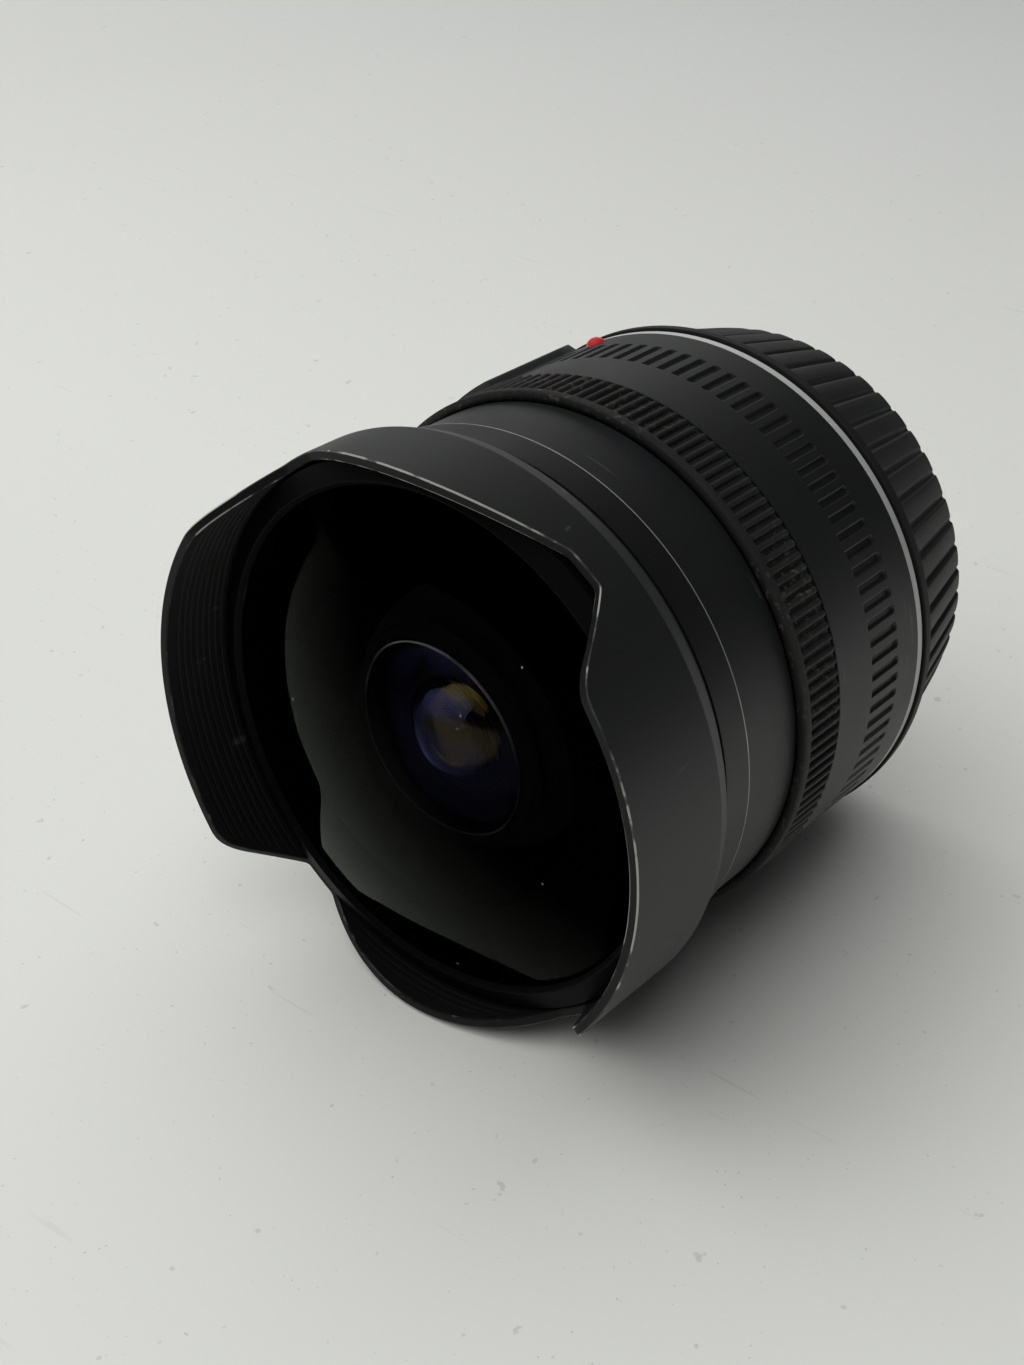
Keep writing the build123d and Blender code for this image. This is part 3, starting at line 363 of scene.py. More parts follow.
class Tree:
    """Small helper that adds shader nodes to one material."""

    def __init__(self, name: str) -> None:
        """Start an empty material with an output.

        Args:
            name: the material's name.
        """
        self.material = bpy.data.materials.new(name)
        self.material.use_nodes = True
        self.nodes = self.material.node_tree.nodes
        self.links = self.material.node_tree.links
        self.nodes.clear()
        self.output = self.nodes.new("ShaderNodeOutputMaterial")

    def add(self, kind: str, inputs: Optional[dict] = None, **settings: object) -> bpy.types.Node:
        """Add a node, set its properties and its sockets.

        Args:
            kind: the node's type.
            inputs: a value or another node's output for each socket, by name or number.
            settings: the node's properties.

        Returns:
            The node.
        """
        node = self.nodes.new(kind)
        for key, value in settings.items():
            setattr(node, key, value)
        for key, value in (inputs or {}).items():
            self.plug(node.inputs[key], value)
        return node

    def plug(self, socket: Socket, value: object) -> None:
        """Link a socket to another node's output, or set its value; a colour may leave out its alpha.

        Args:
            socket: the socket to fill.
            value: an output, a number, or a row of numbers.
        """
        if isinstance(value, Socket):
            self.links.new(value, socket)
        elif socket.type == "RGBA" and len(value) == 3:
            socket.default_value = (*value, 1)
        else:
            socket.default_value = value

    def place(self, scale: Triple = (1, 1, 1)) -> Socket:
        """Object coordinates, scaled."""
        source = self.add("ShaderNodeTexCoord").outputs["Object"]
        return self.add("ShaderNodeMapping", {"Vector": source, "Scale": scale}).outputs["Vector"]

    def part(self, axis: str) -> Socket:
        """One of the Object coordinates."""
        return self.add("ShaderNodeSeparateXYZ", {0: self.place()}).outputs[axis]

    def noise(self, scale: float, detail: float = 3, stretch: Triple = (1, 1, 1)) -> Socket:
        """Noise from 0 to 1 on Object coordinates."""
        inputs = {"Vector": self.place(stretch), "Scale": scale, "Detail": detail}
        return self.add("ShaderNodeTexNoise", inputs).outputs["Fac"]

    def span(self, value: Socket, low: float, high: float, to_low: float = 0, to_high: float = 1) -> Socket:
        """Map a range of a value to another range, clamped."""
        inputs = {"Value": value, "From Min": low, "From Max": high, "To Min": to_low, "To Max": to_high}
        return self.add("ShaderNodeMapRange", inputs).outputs["Result"]

    def maths(self, operation: str, first: object, second: object = 0.0) -> Socket:
        """One arithmetic step."""
        return self.add("ShaderNodeMath", {0: first, 1: second}, operation=operation).outputs[0]

    def times(self, first: object, second: object) -> Socket:
        """Product of two values."""
        return self.maths("MULTIPLY", first, second)

    def blend(self, share: Socket, low: object, high: object) -> Socket:
        """Mix two colours by a share."""
        return self.add("ShaderNodeMix", {"Factor": share, 6: low, 7: high}, data_type="RGBA").outputs[2]

    def mottled(self, shade: Socket, colour: Colour, spread: float) -> Socket:
        """A colour that a noise makes a little darker or lighter."""
        low, high = (tuple(min(1.0, c * factor) for c in colour) for factor in (1 - spread, 1 + spread))
        return self.blend(shade, low, high)

    def scratches(self, lines: Socket, line_span: tuple[float, float], patch: Socket) -> Socket:
        """Fine lines where a stretched noise is just above a level, shown only in patches."""
        return self.times(self.span(lines, *line_span), patch)

    def bump(self, height: Socket, distance: float) -> Socket:
        """Normal from a height."""
        return self.add("ShaderNodeBump", {"Height": height, "Distance": distance}).outputs["Normal"]

    def cover(self, share: Socket, under: Socket, over: Socket) -> Socket:
        """Lay one shader over another by a share."""
        return self.add("ShaderNodeMixShader", {0: share, 1: under, 2: over}).outputs[0]

    def attribute(self, name: str) -> Socket:
        """Number kept on the piece's points."""
        return self.add("ShaderNodeAttribute", attribute_name=name, attribute_type="GEOMETRY").outputs["Fac"]

    def finish(self, shader: Socket) -> bpy.types.Material:
        """Join the shader to the output."""
        self.links.new(shader, self.output.inputs["Surface"])
        return self.material

    def principled(self, inputs: dict) -> bpy.types.Material:
        """Finish with one Principled surface."""
        return self.finish(self.add("ShaderNodeBsdfPrincipled", inputs).outputs[0])


@dataclass(frozen=True)
class PlainFinish:
    """Even finish with a fine grain: paint, anodising, plastic or plain metal."""

    name: str
    colour: Colour
    roughness: float = 0.5
    metallic: float = 0.0
    specular: float = 0.5
    grain: float = 0.0
    grain_scale: float = 3000.0

    def material(self) -> bpy.types.Material:
        """Build the finish.

        Returns:
            The material.
        """
        tree = Tree(self.name)
        shade = tree.noise(120, 4)
        inputs = {
            "Base Color": tree.mottled(shade, self.colour, 0.1),
            "Roughness": tree.span(shade, 0.3, 0.7, self.roughness * 0.94, min(1.0, self.roughness * 1.06)),
            "Metallic": self.metallic,
            "Specular IOR Level": self.specular,
        }
        if self.grain > 0:
            inputs["Normal"] = tree.bump(tree.noise(self.grain_scale, 2), self.grain * MM)
        return tree.principled(inputs)


@dataclass(frozen=True)
class HoodPaint:
    """Satin black paint, worn to bare metal where the attribute wear says so, with a few fine scratches.

    The attribute bevel marks the turned bevels, whose lighter shade is a polished tone with painted sheen, and
    the attribute inside the dull black inner wall, which is rougher and whose darker black is partly painted
    shade in the hollow.
    """

    name: str = "hood_paint"
    colour: Colour = (0.0125, 0.013, 0.0135)
    bevel: Colour = (0.027, 0.028, 0.029)
    inside: Colour = (0.004, 0.004, 0.0045)
    lighter_tone: Colour = (0.10, 0.10, 0.10)
    metal: Colour = (0.40, 0.39, 0.365)

    def material(self) -> bpy.types.Material:
        """Build the finish: paint where the noise is above the wear, metal below it.

        Returns:
            The material.
        """
        tree = Tree(self.name)
        edge = tree.maths("SUBTRACT", tree.attribute("wear"), tree.noise(420, 7))
        bare = tree.span(edge, 0.045, 0.13)
        rub = tree.span(edge, -0.12, 0.05)
        inside = tree.attribute("inside")
        patch = tree.span(tree.noise(60, 1), 0.45, 0.6)
        scratch = tree.scratches(tree.noise(16, 1, (1.0, 9.0, 60.0)), (0.73, 0.74), patch)
        paint = tree.mottled(tree.noise(90, 4), self.colour, 0.15)
        # Lighter bevels: a polished tone with painted sheen on top.
        paint = tree.blend(tree.attribute("bevel"), paint, self.bevel)
        # Darker inner wall: a duller black, partly painted shade in the hollow of the hood.
        paint = tree.blend(inside, paint, self.inside)
        paint = tree.blend(tree.times(scratch, 0.45), paint, self.lighter_tone)
        paint = tree.blend(tree.times(rub, 0.5), paint, self.lighter_tone)
        rough = tree.span(inside, 0, 1, 0.46, 0.8)
        return tree.principled({
            "Base Color": tree.blend(bare, paint, self.metal),
            "Metallic": tree.times(bare, 0.35),
            "Roughness": tree.maths("SUBTRACT", rough, tree.times(bare, 0.08)),
            "Specular IOR Level": 0.5,
            "Normal": tree.bump(tree.noise(4200, 2), 0.006 * MM),
        })


@dataclass(frozen=True)
class BarrelPaint:
    """Satin black paint with a polished edge, whose light grey also paints the highlight the edge catches,
    where an attribute says so, and a darker band.
    """

    name: str = "barrel_paint"
    colour: Colour = (0.0105, 0.011, 0.0115)
    band: Colour = (0.007, 0.0072, 0.0075)
    lighter_tone: Colour = (0.08, 0.08, 0.08)
    polish_and_highlight: Colour = (0.42, 0.42, 0.41)

    def material(self) -> bpy.types.Material:
        """Build the finish.

        Returns:
            The material.
        """
        tree = Tree(self.name)
        shade = tree.noise(110, 4)
        # Polished edge: light grey metal that also paints the highlight the edge catches.
        shine = tree.times(tree.attribute("polish_and_highlight"), tree.span(tree.noise(260, 3), 0.3, 0.6, 0.55, 1.0))
        patch = tree.span(tree.noise(50, 1), 0.48, 0.62)
        scratch = tree.scratches(tree.noise(14, 1, (1.0, 60.0, 8.0)), (0.72, 0.735), patch)
        paint = tree.mottled(shade, self.colour, 0.12)
        paint = tree.blend(tree.attribute("band"), paint, self.band)
        paint = tree.blend(tree.times(scratch, 0.3), paint, self.lighter_tone)
        return tree.principled({
            "Base Color": tree.blend(shine, paint, self.polish_and_highlight),
            "Metallic": tree.times(shine, 0.7),
            "Roughness": tree.span(shade, 0.3, 0.7, 0.43, 0.48),
            "Normal": tree.bump(tree.noise(4200, 2), 0.006 * MM),
        })


@dataclass(frozen=True)
class TopHighlightRing:
    """Black ring with a painted highlight: a lighter colour along its upper side, where the light catches it.
    """

    name: str
    colour: Colour
    # The lighter colour is the painted highlight on the ring's upper side.
    lighter_tone: Colour
    start: float = 3 * MM
    full: float = 12 * MM

    def material(self) -> bpy.types.Material:
        """Build the finish: the painted highlight follows the height, broken up by a noise.

        Returns:
            The material.
        """
        tree = Tree(self.name)
        # Painted highlight: the ring turns lighter towards its top.
        height = tree.span(tree.part("Z"), self.start, self.full)
        share = tree.times(height, tree.span(tree.noise(300, 3), 0.3, 0.6, 0.4, 1.0))
        colour = tree.blend(share, self.colour, self.lighter_tone)
        return tree.principled({"Base Color": colour, "Roughness": 0.4, "Specular IOR Level": 0.1})


@dataclass(frozen=True)
class RubberFinish:
    """Matt rubber with brownish dust in the hollows."""

    name: str = "grip_rubber"
    colour: Colour = (0.013, 0.013, 0.013)
    dust: Colour = (0.10, 0.09, 0.075)

    def material(self) -> bpy.types.Material:
        """Build the finish: dust grows with the attribute hollow and patches of noise.

        Returns:
            The material.
        """
        tree = Tree(self.name)
        patch = tree.span(tree.noise(55, 5), 0.44, 0.62)
        speck = tree.span(tree.noise(1300, 3), 0.58, 0.64)
        hollow = tree.span(tree.attribute("hollow"), 0, 1, 0.5, 1.0)
        haze = tree.times(tree.span(tree.noise(200, 4), 0.4, 0.8), 0.05)
        share = tree.maths("ADD", tree.times(tree.times(tree.times(patch, speck), hollow), 0.75), haze)
        return tree.principled({
            "Base Color": tree.blend(share, self.colour, self.dust),
            "Roughness": 0.62,
            "Specular IOR Level": 0.4,
            "Normal": tree.bump(tree.noise(2500, 3), 0.012 * MM),
        })


@dataclass(frozen=True)
class CoatedGlass:
    """Clear glass with a thin coating that holds back reflections seen square on.

    The reflected share is the Fresnel share less a held-back part, times a strength, never under a small
    floor. A piece's attribute coat weakens the mirror on some of its faces, and its attribute paint turns
    them black.
    """

    name: str
    tint: Colour
    held_back: float
    least: float
    strength: float = 0.35
    index: float = 1.77
    zoned: bool = True
    dust: float = 0.0

    def material(self) -> bpy.types.Material:
        """Build the finish from a refraction and a tinted mirror.

        Returns:
            The material.
        """
        tree = Tree(self.name)
        fresnel = tree.add("ShaderNodeFresnel", {"IOR": 1.5}).outputs[0]
        share = tree.times(tree.maths("SUBTRACT", fresnel, self.held_back), self.strength)
        share = tree.maths("MAXIMUM", share, self.least)
        if self.zoned:
            share = tree.times(share, tree.attribute("coat"))
        inputs = {"Color": (1, 1, 1), "Roughness": 0.0, "IOR": self.index}
        clear = tree.add("ShaderNodeBsdfRefraction", inputs)
        mirror = tree.add("ShaderNodeBsdfGlossy", {"Color": self.tint, "Roughness": 0.0})
        glass = tree.cover(share, clear.outputs[0], mirror.outputs[0])
        if self.dust > 0:
            speck = tree.span(tree.noise(900, 1), 0.80, 0.82, 0, self.dust)
            powder = tree.add("ShaderNodeBsdfDiffuse", {"Color": (0.6, 0.6, 0.58)})
            glass = tree.cover(speck, glass, powder.outputs[0])
        if self.zoned:
            paint = tree.add("ShaderNodeBsdfDiffuse", {"Color": (0.002, 0.002, 0.002)})
            glass = tree.cover(tree.span(tree.attribute("paint"), 0.45, 0.55), glass, paint.outputs[0])
        return tree.finish(glass)


@dataclass(frozen=True)
class ClearPane:
    """Flat clear plastic of the distance window."""

    name: str = "window_clear"

    def material(self) -> bpy.types.Material:
        """Build the finish.

        Returns:
            The material.
        """
        return Tree(self.name).principled({
            "Base Color": (0.95, 0.97, 0.97), "Roughness": 0.03, "IOR": 1.49, "Transmission Weight": 1.0})


HOOD_PAINT = HoodPaint()
BARREL_PAINT = BarrelPaint()
RING_ANODISE = PlainFinish(
    "ring_anodise", (0.0022, 0.0023, 0.0024), 0.5, specular=0.06, grain=0.008, grain_scale=1500)
WORKS_BLACK = PlainFinish("works_black", (0.002, 0.002, 0.0022), 0.6, specular=0.0)
WORKS_BARE = PlainFinish("works_bare", (0.60, 0.60, 0.60), 0.35, metallic=1.0)
# The seat line's lighter upper side is a painted highlight.
SEAT_LINE = TopHighlightRing("seat_line", (0.008, 0.008, 0.009), (0.13, 0.13, 0.135))
TRIM_GREY = PlainFinish("trim_grey", (0.50, 0.50, 0.49), 0.38, metallic=0.3)
MOUNT_CHROME = PlainFinish("mount_chrome", (0.62, 0.61, 0.59), 0.22, metallic=1.0)
SCREW_STEEL = PlainFinish("screw_steel", (0.55, 0.55, 0.56), 0.30, metallic=1.0)
SCREW_BLACK = PlainFinish("screw_black", (0.03, 0.03, 0.032), 0.4, metallic=0.6)
CONTACT_PLASTIC = PlainFinish("contact_plastic", (0.014, 0.014, 0.014), 0.5)
CONTACT_GOLD = PlainFinish("contact_gold", (0.86, 0.62, 0.28), 0.2, metallic=1.0)
BOARD_GREEN = PlainFinish("board_green", (0.02, 0.16, 0.06), 0.4)
BLADE_BLACK = PlainFinish("blade_black", (0.012, 0.012, 0.012), 0.45, metallic=0.4)
GEAR_PLASTIC = PlainFinish("gear_plastic", (0.78, 0.76, 0.70), 0.45)
MOTOR_CASE = PlainFinish("motor_case", (0.06, 0.06, 0.065), 0.5)
SWITCH_PLASTIC = PlainFinish("switch_plastic", (0.016, 0.016, 0.017), 0.45, grain=0.01)
DRUM_BLACK = PlainFinish("drum_black", (0.012, 0.012, 0.013), 0.5)
SCALE_WHITE = PlainFinish("scale_white", (0.75, 0.75, 0.73), 0.6)
CAP_PLASTIC = PlainFinish(
    "cap_plastic", (0.0125, 0.0128, 0.013), 0.54, specular=0.28, grain=0.008, grain_scale=1800)
BEAD_RED = PlainFinish("bead_red", (0.50, 0.022, 0.018), 0.22)
WINDOW_CLEAR = ClearPane()
RUBBER = RubberFinish()
FRONT_GLASS = CoatedGlass("front_glass", (0.92, 1.0, 0.90), 0.055, 0.0003, 0.36, dust=0.5)
SECOND_GLASS = CoatedGlass("second_glass", (0.32, 0.34, 0.85), 0.03, 0.016, index=1.2)
THIRD_GLASS = CoatedGlass("third_glass", (0.92, 0.74, 0.22), 0.02, 0.018)
DEEP_GLASS = CoatedGlass("deep_glass", (0.90, 0.75, 0.30), 0.02, 0.05, zoned=False)


class Wardrobe:
    """Builds each finish once and puts it on pieces."""

    def __init__(self) -> None:
        """Start with no materials."""
        self.made: dict[str, bpy.types.Material] = {}

    def dress(self, piece: Piece, finish: object) -> None:
        """Give a piece one finish in its only slot.

        Args:
            piece: a new piece or a node of the frame.
            finish: an object with a name and a material method.
        """
        if finish.name not in self.made:
            self.made[finish.name] = finish.material()
        piece.data.materials.clear()
        piece.data.materials.append(self.made[finish.name])


WARDROBE = Wardrobe()


def settle(piece: Piece, body: str, finish: object, nodes: Sequence[str] = ()) -> None:
    """Dress a new piece, join it to its body and hide the nodes it stands for.

    Args:
        piece: the finished piece at the origin.
        body: the body it moves with.
        finish: its finish.
        nodes: the frame's nodes that it replaces.
    """
    WARDROBE.dress(piece, finish)
    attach(piece, body)
    if nodes:
        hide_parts(*nodes)
    LOG.info("%s on %s, %d faces", piece.name, body, len(piece.data.polygons))


# Sub-assemblies


@dataclass
class PetalHood:
    """Hood with two long petals at the sides and two short ones above and below."""

    radius: float = 36.5
    wall: float = 1.2
    tip: float = -62.2
    notch_depth: float = 10.0
    tip_half: float = 22.7
    root_half: float = 28.2
    short_drop: float = 4.6
    corner: float = 3.2
    chamfer: float = 0.15
    edge_blur: float = 0.9
    blur_count: int = 13
    coarse_step: float = 1.1
    arch_step: float = 0.4
    fine_step: float = 0.22
    rim_end: float = 1.6
    bevel_front: float = -47.2
    bevel_rear: float = -43.12
    rear_radius: float = 34.1
    seat_radius: float = 33.5
    seat_front: float = -46.45
    smooth_rear: float = -48.45
    smooth_front: float = -51.8
    step_count: int = 9
    step_pitch: float = 1.0
    step_depth: float = 0.24
    gather_start: float = 1.2
    gather_pitch: float = 0.004
    worn_all_round: float = 0.38
    worn_spots: tuple[Triple, ...] = (
        (181, 9, 0.40), (218, 3, 0.35), (170, 26, 0.18), (108, 14, 0.22), (84, 26, 0.26), (40, 3.5, 0.45),
        (131, 2, 0.3))

    @property
    def inner(self) -> float:
        """Radius of the inner wall."""
        return self.radius - self.wall

    def columns(self) -> Array:
        """Clock angles, close together where the front edge bends.

        Returns:
            Angles in degrees, in order.
        """
        tip = math.degrees(math.asin(self.tip_half / self.radius))
        root = math.degrees(math.asin(self.root_half / self.radius))
        arch = 90 - math.degrees(math.acos(1 - (self.notch_depth - self.short_drop) / self.radius))
        quarter = np.concatenate([
            np.arange(0, tip - 2, self.coarse_step), np.arange(tip - 2, root + 2, self.fine_step),
            np.arange(root + 2, arch + 2, self.arch_step), np.arange(arch + 2, 90, self.coarse_step),
        ])
        half = np.concatenate([quarter, 180 - quarter[::-1]])
        return np.unique(np.round(np.concatenate([half, half + 180]) % FULL_TURN, 4))

    def sharp_edge(self, angle: Array) -> Array:
        """Station of the front edge before its corners are softened.

        A long petal is cut flat, its sides run straight in the side view with a rounded corner of
        (d + c)^2 / 4c, and a short petal is an arc of the hood's own radius seen from above.

        Args:
            angle: clock angles in degrees.

        Returns:
            Stations in millimetres.
        """
        across = self.radius * np.abs(np.sin(np.radians(angle)))
        along = self.radius * np.abs(np.cos(np.radians(angle)))
        rise = (across - self.tip_half) / (self.root_half - self.tip_half) * self.notch_depth
        blend = np.clip(rise + self.corner, 0, 2 * self.corner) ** 2 / (4 * self.corner)
        side = self.tip + np.minimum(np.maximum(rise, blend), self.notch_depth)
        arch = self.tip + self.short_drop + self.radius - np.sqrt(np.maximum(self.radius**2 - along**2, 0))
        return np.minimum(side, np.minimum(arch, self.tip + self.notch_depth))

    def front_edge(self, angle: Array) -> Array:
        """Station of the front edge: the sharp edge averaged over a small angle with a cosine's weight.

        Args:
            angle: clock angles in degrees.

        Returns:
            Stations in millimetres.
        """
        spread = np.linspace(-self.edge_blur, self.edge_blur, self.blur_count)
        weight = np.cos(spread / self.edge_blur * math.pi / 2 * 0.95)
        stack = np.stack([self.sharp_edge(angle + offset) for offset in spread])
        return np.tensordot(weight / weight.sum(), stack, axes=1)

    def rim_profile(self) -> list[Triple]:
        """Rows of the rim with its two bevels.

        Returns:
            (radius, distance behind the edge, wear) from the inner wall to the outside.
        """
        inner, outer, chamfer = self.inner, self.radius, self.chamfer
        return [
            (inner, 1.2, 0.0), (inner, chamfer + 0.08, 0.0), (inner, chamfer, 0.95),
            (inner + chamfer, 0.0, 0.95), (inner + chamfer + 0.05, 0.0, 0.0),
            (outer - chamfer - 0.05, 0.0, 0.0), (outer - chamfer, 0.0, 1.0), (outer, chamfer, 1.0),
            (outer, chamfer + 0.06, 0.3), (outer, 0.45, 0.15), (outer, 0.9, 0.0), (outer, self.rim_end, 0.0),
        ]

    def add_steps(self, rows: GridRows, edge: Array) -> None:
        """Add the stepped inside, from the rear to the front.

        Rows that would stand in front of the edge are gathered just behind it.

        Args:
            rows: the grid so far.
            edge: stations of the front edge.
        """
        sunk = self.inner + self.step_depth
        step = (
            (self.inner, 0.06), (self.inner, 0.01), (sunk, -0.01), (sunk, -0.06),
            (sunk, -0.34), (sunk, -0.39), (self.inner, -0.41), (self.inner, -0.46))
        for count in range(self.step_count, 0, -1):
            for radius, offset in step:
                station = self.tip + count * self.step_pitch + offset
                still_to_come = self.step_count * len(step) - len(rows.radii)
                gathered = edge + self.gather_start + self.gather_pitch * still_to_come
                early = station < gathered
                rows.add(np.where(early, self.inner, radius), np.where(early, gathered, station))

    def build(self) -> Piece:
        """Grid of rows over the clock: stepped inside, rim with two bevels, outside, rear.

        Returns:
            The closed piece, with the attributes that its paint reads.
        """
        rows = GridRows(self.columns())
        edge = self.front_edge(rows.angle)
        self.add_steps(rows, edge)
        rim = self.rim_profile()
        rim_start = len(rows.radii)
        for radius, offset, _ in rim:
            rows.add(radius, edge + offset)
        rows.add(self.radius, (edge + self.rim_end + self.bevel_front) / 2)
        rows.follow(rounded_outline([
            (self.radius, self.bevel_front - 1.2, 0), (self.radius, self.bevel_front, 0.12),
            (self.radius - 0.8, self.bevel_front + 2.1, 0.06), (self.rear_radius, self.bevel_rear, 0.06),
            (self.seat_radius, self.bevel_rear, 0.08), (self.seat_radius, self.seat_front, 0.08),
            (self.inner, self.seat_front, 0.08), (self.inner, self.smooth_rear, 0),
        ], closed=False))
        rows.add(self.inner, np.maximum(self.smooth_front, edge + self.rim_end))
        piece = grid_piece("hood_shell", rows.points())

        radius, station = rows.arrays()
        wear = np.zeros(len(radius))
        wear[rim_start:rim_start + len(rim)] = [worn for _, _, worn in rim]
        store(piece, "wear", wear[:, None] * self.wear_amount(rows.angle)[None, :])
        # Bevel carries the bevels' lighter tone and painted sheen; inside carries the inner wall's darker
        # black, partly painted shade.
        past_bevel = np.clip((station - self.bevel_front - 0.1) / 0.05, 0, 1)
        store(piece, "bevel", past_bevel * (radius > self.rear_radius + 0.05))
        inner_half = (np.arange(len(radius)) < rim_start + len(rim) // 2)[:, None]
        seat = (station > self.seat_front - 0.05) & (radius < self.seat_radius + 0.2)
        wall = (radius < self.inner + 0.01) & (station > self.smooth_front - 0.2)
        store(piece, "inside", inner_half | seat | wall)
        return piece

    def wear_amount(self, angle: Array) -> Array:
        """How worn the rim is round the clock: most on the right petal, with spots at the corners.

        Each spot is (middle, reach, amount) and adds amount * exp(-((angle - middle) / reach)^2).

        Args:
            angle: clock angles in degrees.

        Returns:
            Amounts from 0 up.
        """
        middle, reach, amount = np.array(self.worn_spots).T[:, :, None]
        return self.worn_all_round + np.sum(amount * np.exp(-(((angle - middle) / reach) ** 2)), axis=0)

    def dress(self) -> None:
        """Finish the hood."""
        settle(self.build(), "focus_unit", HOOD_PAINT, ["petal_hood"])


@dataclass(frozen=True)
class Element:
    """Lens element between two spheres; its rim and its rear flat are painted black.

    A sphere's depth at a distance s from the axis is R - sqrt(R^2 - s^2), turned round for a negative R. The
    coats are the strengths of the mirror on the front and on the rear surface.
    """

    name: str
    node: str
    finish: CoatedGlass
    vertex: float
    thickness: float
    front_radius: float
    rear_radius: float
    edge: float
    rear_edge: float
    coats: tuple[float, float]
    flat: Optional[float] = None
    bevel: float = 0.15
    rim_round: float = 0.05

    def front(self, at: Array) -> Array:
        """Station of the front surface at a distance from the axis."""
        return self.vertex + self.sag(self.front_radius, at)

    def rear(self, at: Array) -> Array:
        """Station of the rear surface at a distance from the axis."""
        return self.vertex + self.thickness + self.sag(self.rear_radius, at)

    @staticmethod
    def sag(radius: float, at: Array) -> Array:
        """Depth of a sphere at a distance from its axis."""
        return radius - math.copysign(1, radius) * np.sqrt(radius * radius - at * at)

    def build(self) -> Piece:
        """Turn the element's outline: front surface, rim, rear surface.

        Returns:
            The closed piece, with the attributes that its glass reads.
        """
        out = self.edge * np.sin(np.linspace(0, math.pi / 2, 40))
        out[-1] = self.edge - self.bevel
        back = self.rear_edge * np.sin(np.linspace(0, math.pi / 2, 32))[::-1]
        rim_front = self.front(out[-1]) + self.bevel
        rim_rear = self.rear(self.rear_edge) if self.flat is None else self.flat
        rim = [
            (self.edge, rim_front), (self.edge, rim_rear - self.rim_round),
            (self.edge - self.rim_round, rim_rear)]
        if self.flat is not None:
            rim.append((self.rear_edge + self.rim_round, rim_rear))
        front_rows = np.stack([out, self.front(out)], axis=1)
        rear_rows = np.stack([back, self.rear(back)], axis=1)
        piece = solid_of_revolution(self.name, np.concatenate([front_rows, rim, rear_rows]))
        counts = [len(out), len(rim), len(back)]
        for title, shares in (("coat", (self.coats[0], 0, self.coats[1])), ("paint", (0, 1, 0))):
            values = np.repeat(np.array(shares, float), counts)
            store(piece, title, np.concatenate([np.repeat(values[1:-1], GLASS_COUNT), values[[0, -1]]]))
        return piece

    def dress(self) -> None:
        """Finish the element."""
        settle(self.build(), "focus_unit", self.finish, [self.node])


@dataclass
class FrontGroup:
    """Dark ring round the glass, the domed glass and what shows behind it."""

    ring: tuple[Corner, ...] = (
        (32.3, -53.9, 0.12), (34.9, -52.8, 0.10), (34.9, -48.4, 0.05), (32.12, -48.4, 0.05),
        (32.12, -52.98, 0.05), (31.7, -53.15, 0.03),
    )
    line: tuple[Corner, ...] = (
        (13.9, -50.35, 0.02), (13.9, -50.85, 0.01), (14.08, -50.62, 0.02), (14.08, -50.35, 0.02))
    vertex: float = -60.4
    thickness: float = 2.4
    front_radius: float = 72.0
    hollow_radius: float = 23.9
    edge: float = 32.0
    seat: float = -48.4
    second_vertex: float = -51.4
    third_vertex: float = -43.5

    def elements(self) -> list[Element]:
        """Front glass and the two elements that show through it.

        The front glass's hollow ends where its sphere meets the seat, at sqrt(depth * (2 R - depth)).

        Returns:
            The three elements from the front.
        """
        depth = self.seat - (self.vertex + self.thickness)
        half = math.sqrt(depth * (2 * self.hollow_radius - depth))
        return [
            Element(
                "front_glass", "lens_1", FRONT_GLASS, self.vertex, self.thickness, self.front_radius,
                self.hollow_radius, self.edge, half, coats=(1.0, 0.0), flat=self.seat),
            Element(
                "second_glass", "lens_2", SECOND_GLASS, self.second_vertex, thickness=1.5,
                front_radius=60.0, rear_radius=15.5, edge=15.5, rear_edge=13.8, coats=(0.35, 1.0)),
            Element(
                "third_glass", "lens_3", THIRD_GLASS, self.third_vertex, thickness=7.35,
                front_radius=24.0, rear_radius=-30.0, edge=10.5, rear_edge=10.4, coats=(1.0, 0.4)),
        ]

    def dress(self) -> None:
        """Build and finish the ring, the glass and the fine ridge round the second element."""
        ring = lathe("front_ring_turned", rounded_outline(self.ring))
        settle(ring, "focus_unit", RING_ANODISE, ["front_ring"])
        for element in self.elements():
            element.dress()
        line = lathe("seat_line", rounded_outline(self.line), GLASS_COUNT)
        settle(line, "focus_unit", SEAT_LINE)


@dataclass
class FrontBarrel:
    """Smooth barrel with the bare band behind the hood and the sleeve under the focus ring."""

    corners: tuple[Corner, ...] = (
        (32.05, -46.45, 0.05), (33.4, -46.45, 0.05), (33.4, -42.7, 0.05), (34.05, -42.7, 0.06),
        (34.0, -38.33, 0.02), (33.99, -38.15, 0.03), (33.45, -37.95, 0.03), (33.45, -28.02, 0.06),
        (31.4, -28.02, 0.05), (31.4, -25.0, 0.05), (30.45, -25.0, 0.05), (30.45, -29.0, 0.05),
        (32.0, -29.4, 0.05),
    )
    band: tuple[float, float] = (-42.71, -38.34)
    band_root: float = 33.9
    polish_and_highlight: tuple[float, float] = (-38.34, -37.93)
    polish_and_highlight_root: float = 33.5

    def dress(self) -> None:
        """Build and finish the barrel; the band's rear edge is polished, and its light grey also paints the
        highlight the edge catches.
        """
        outline = anticlockwise(rounded_outline(self.corners))
        piece = lathe("front_barrel_turned", outline)
        radius, station = outline.T
        zones = (("band", self.band, self.band_root), ("polish_and_highlight", self.polish_and_highlight, self.polish_and_highlight_root))
        for name, (low, high), root in zones:
            share = (station > low) & (station < high) & (radius > root)
            store(piece, name, np.repeat(share, LATHE_COUNT))
        settle(piece, "focus_unit", BARREL_PAINT, ["front_barrel"])


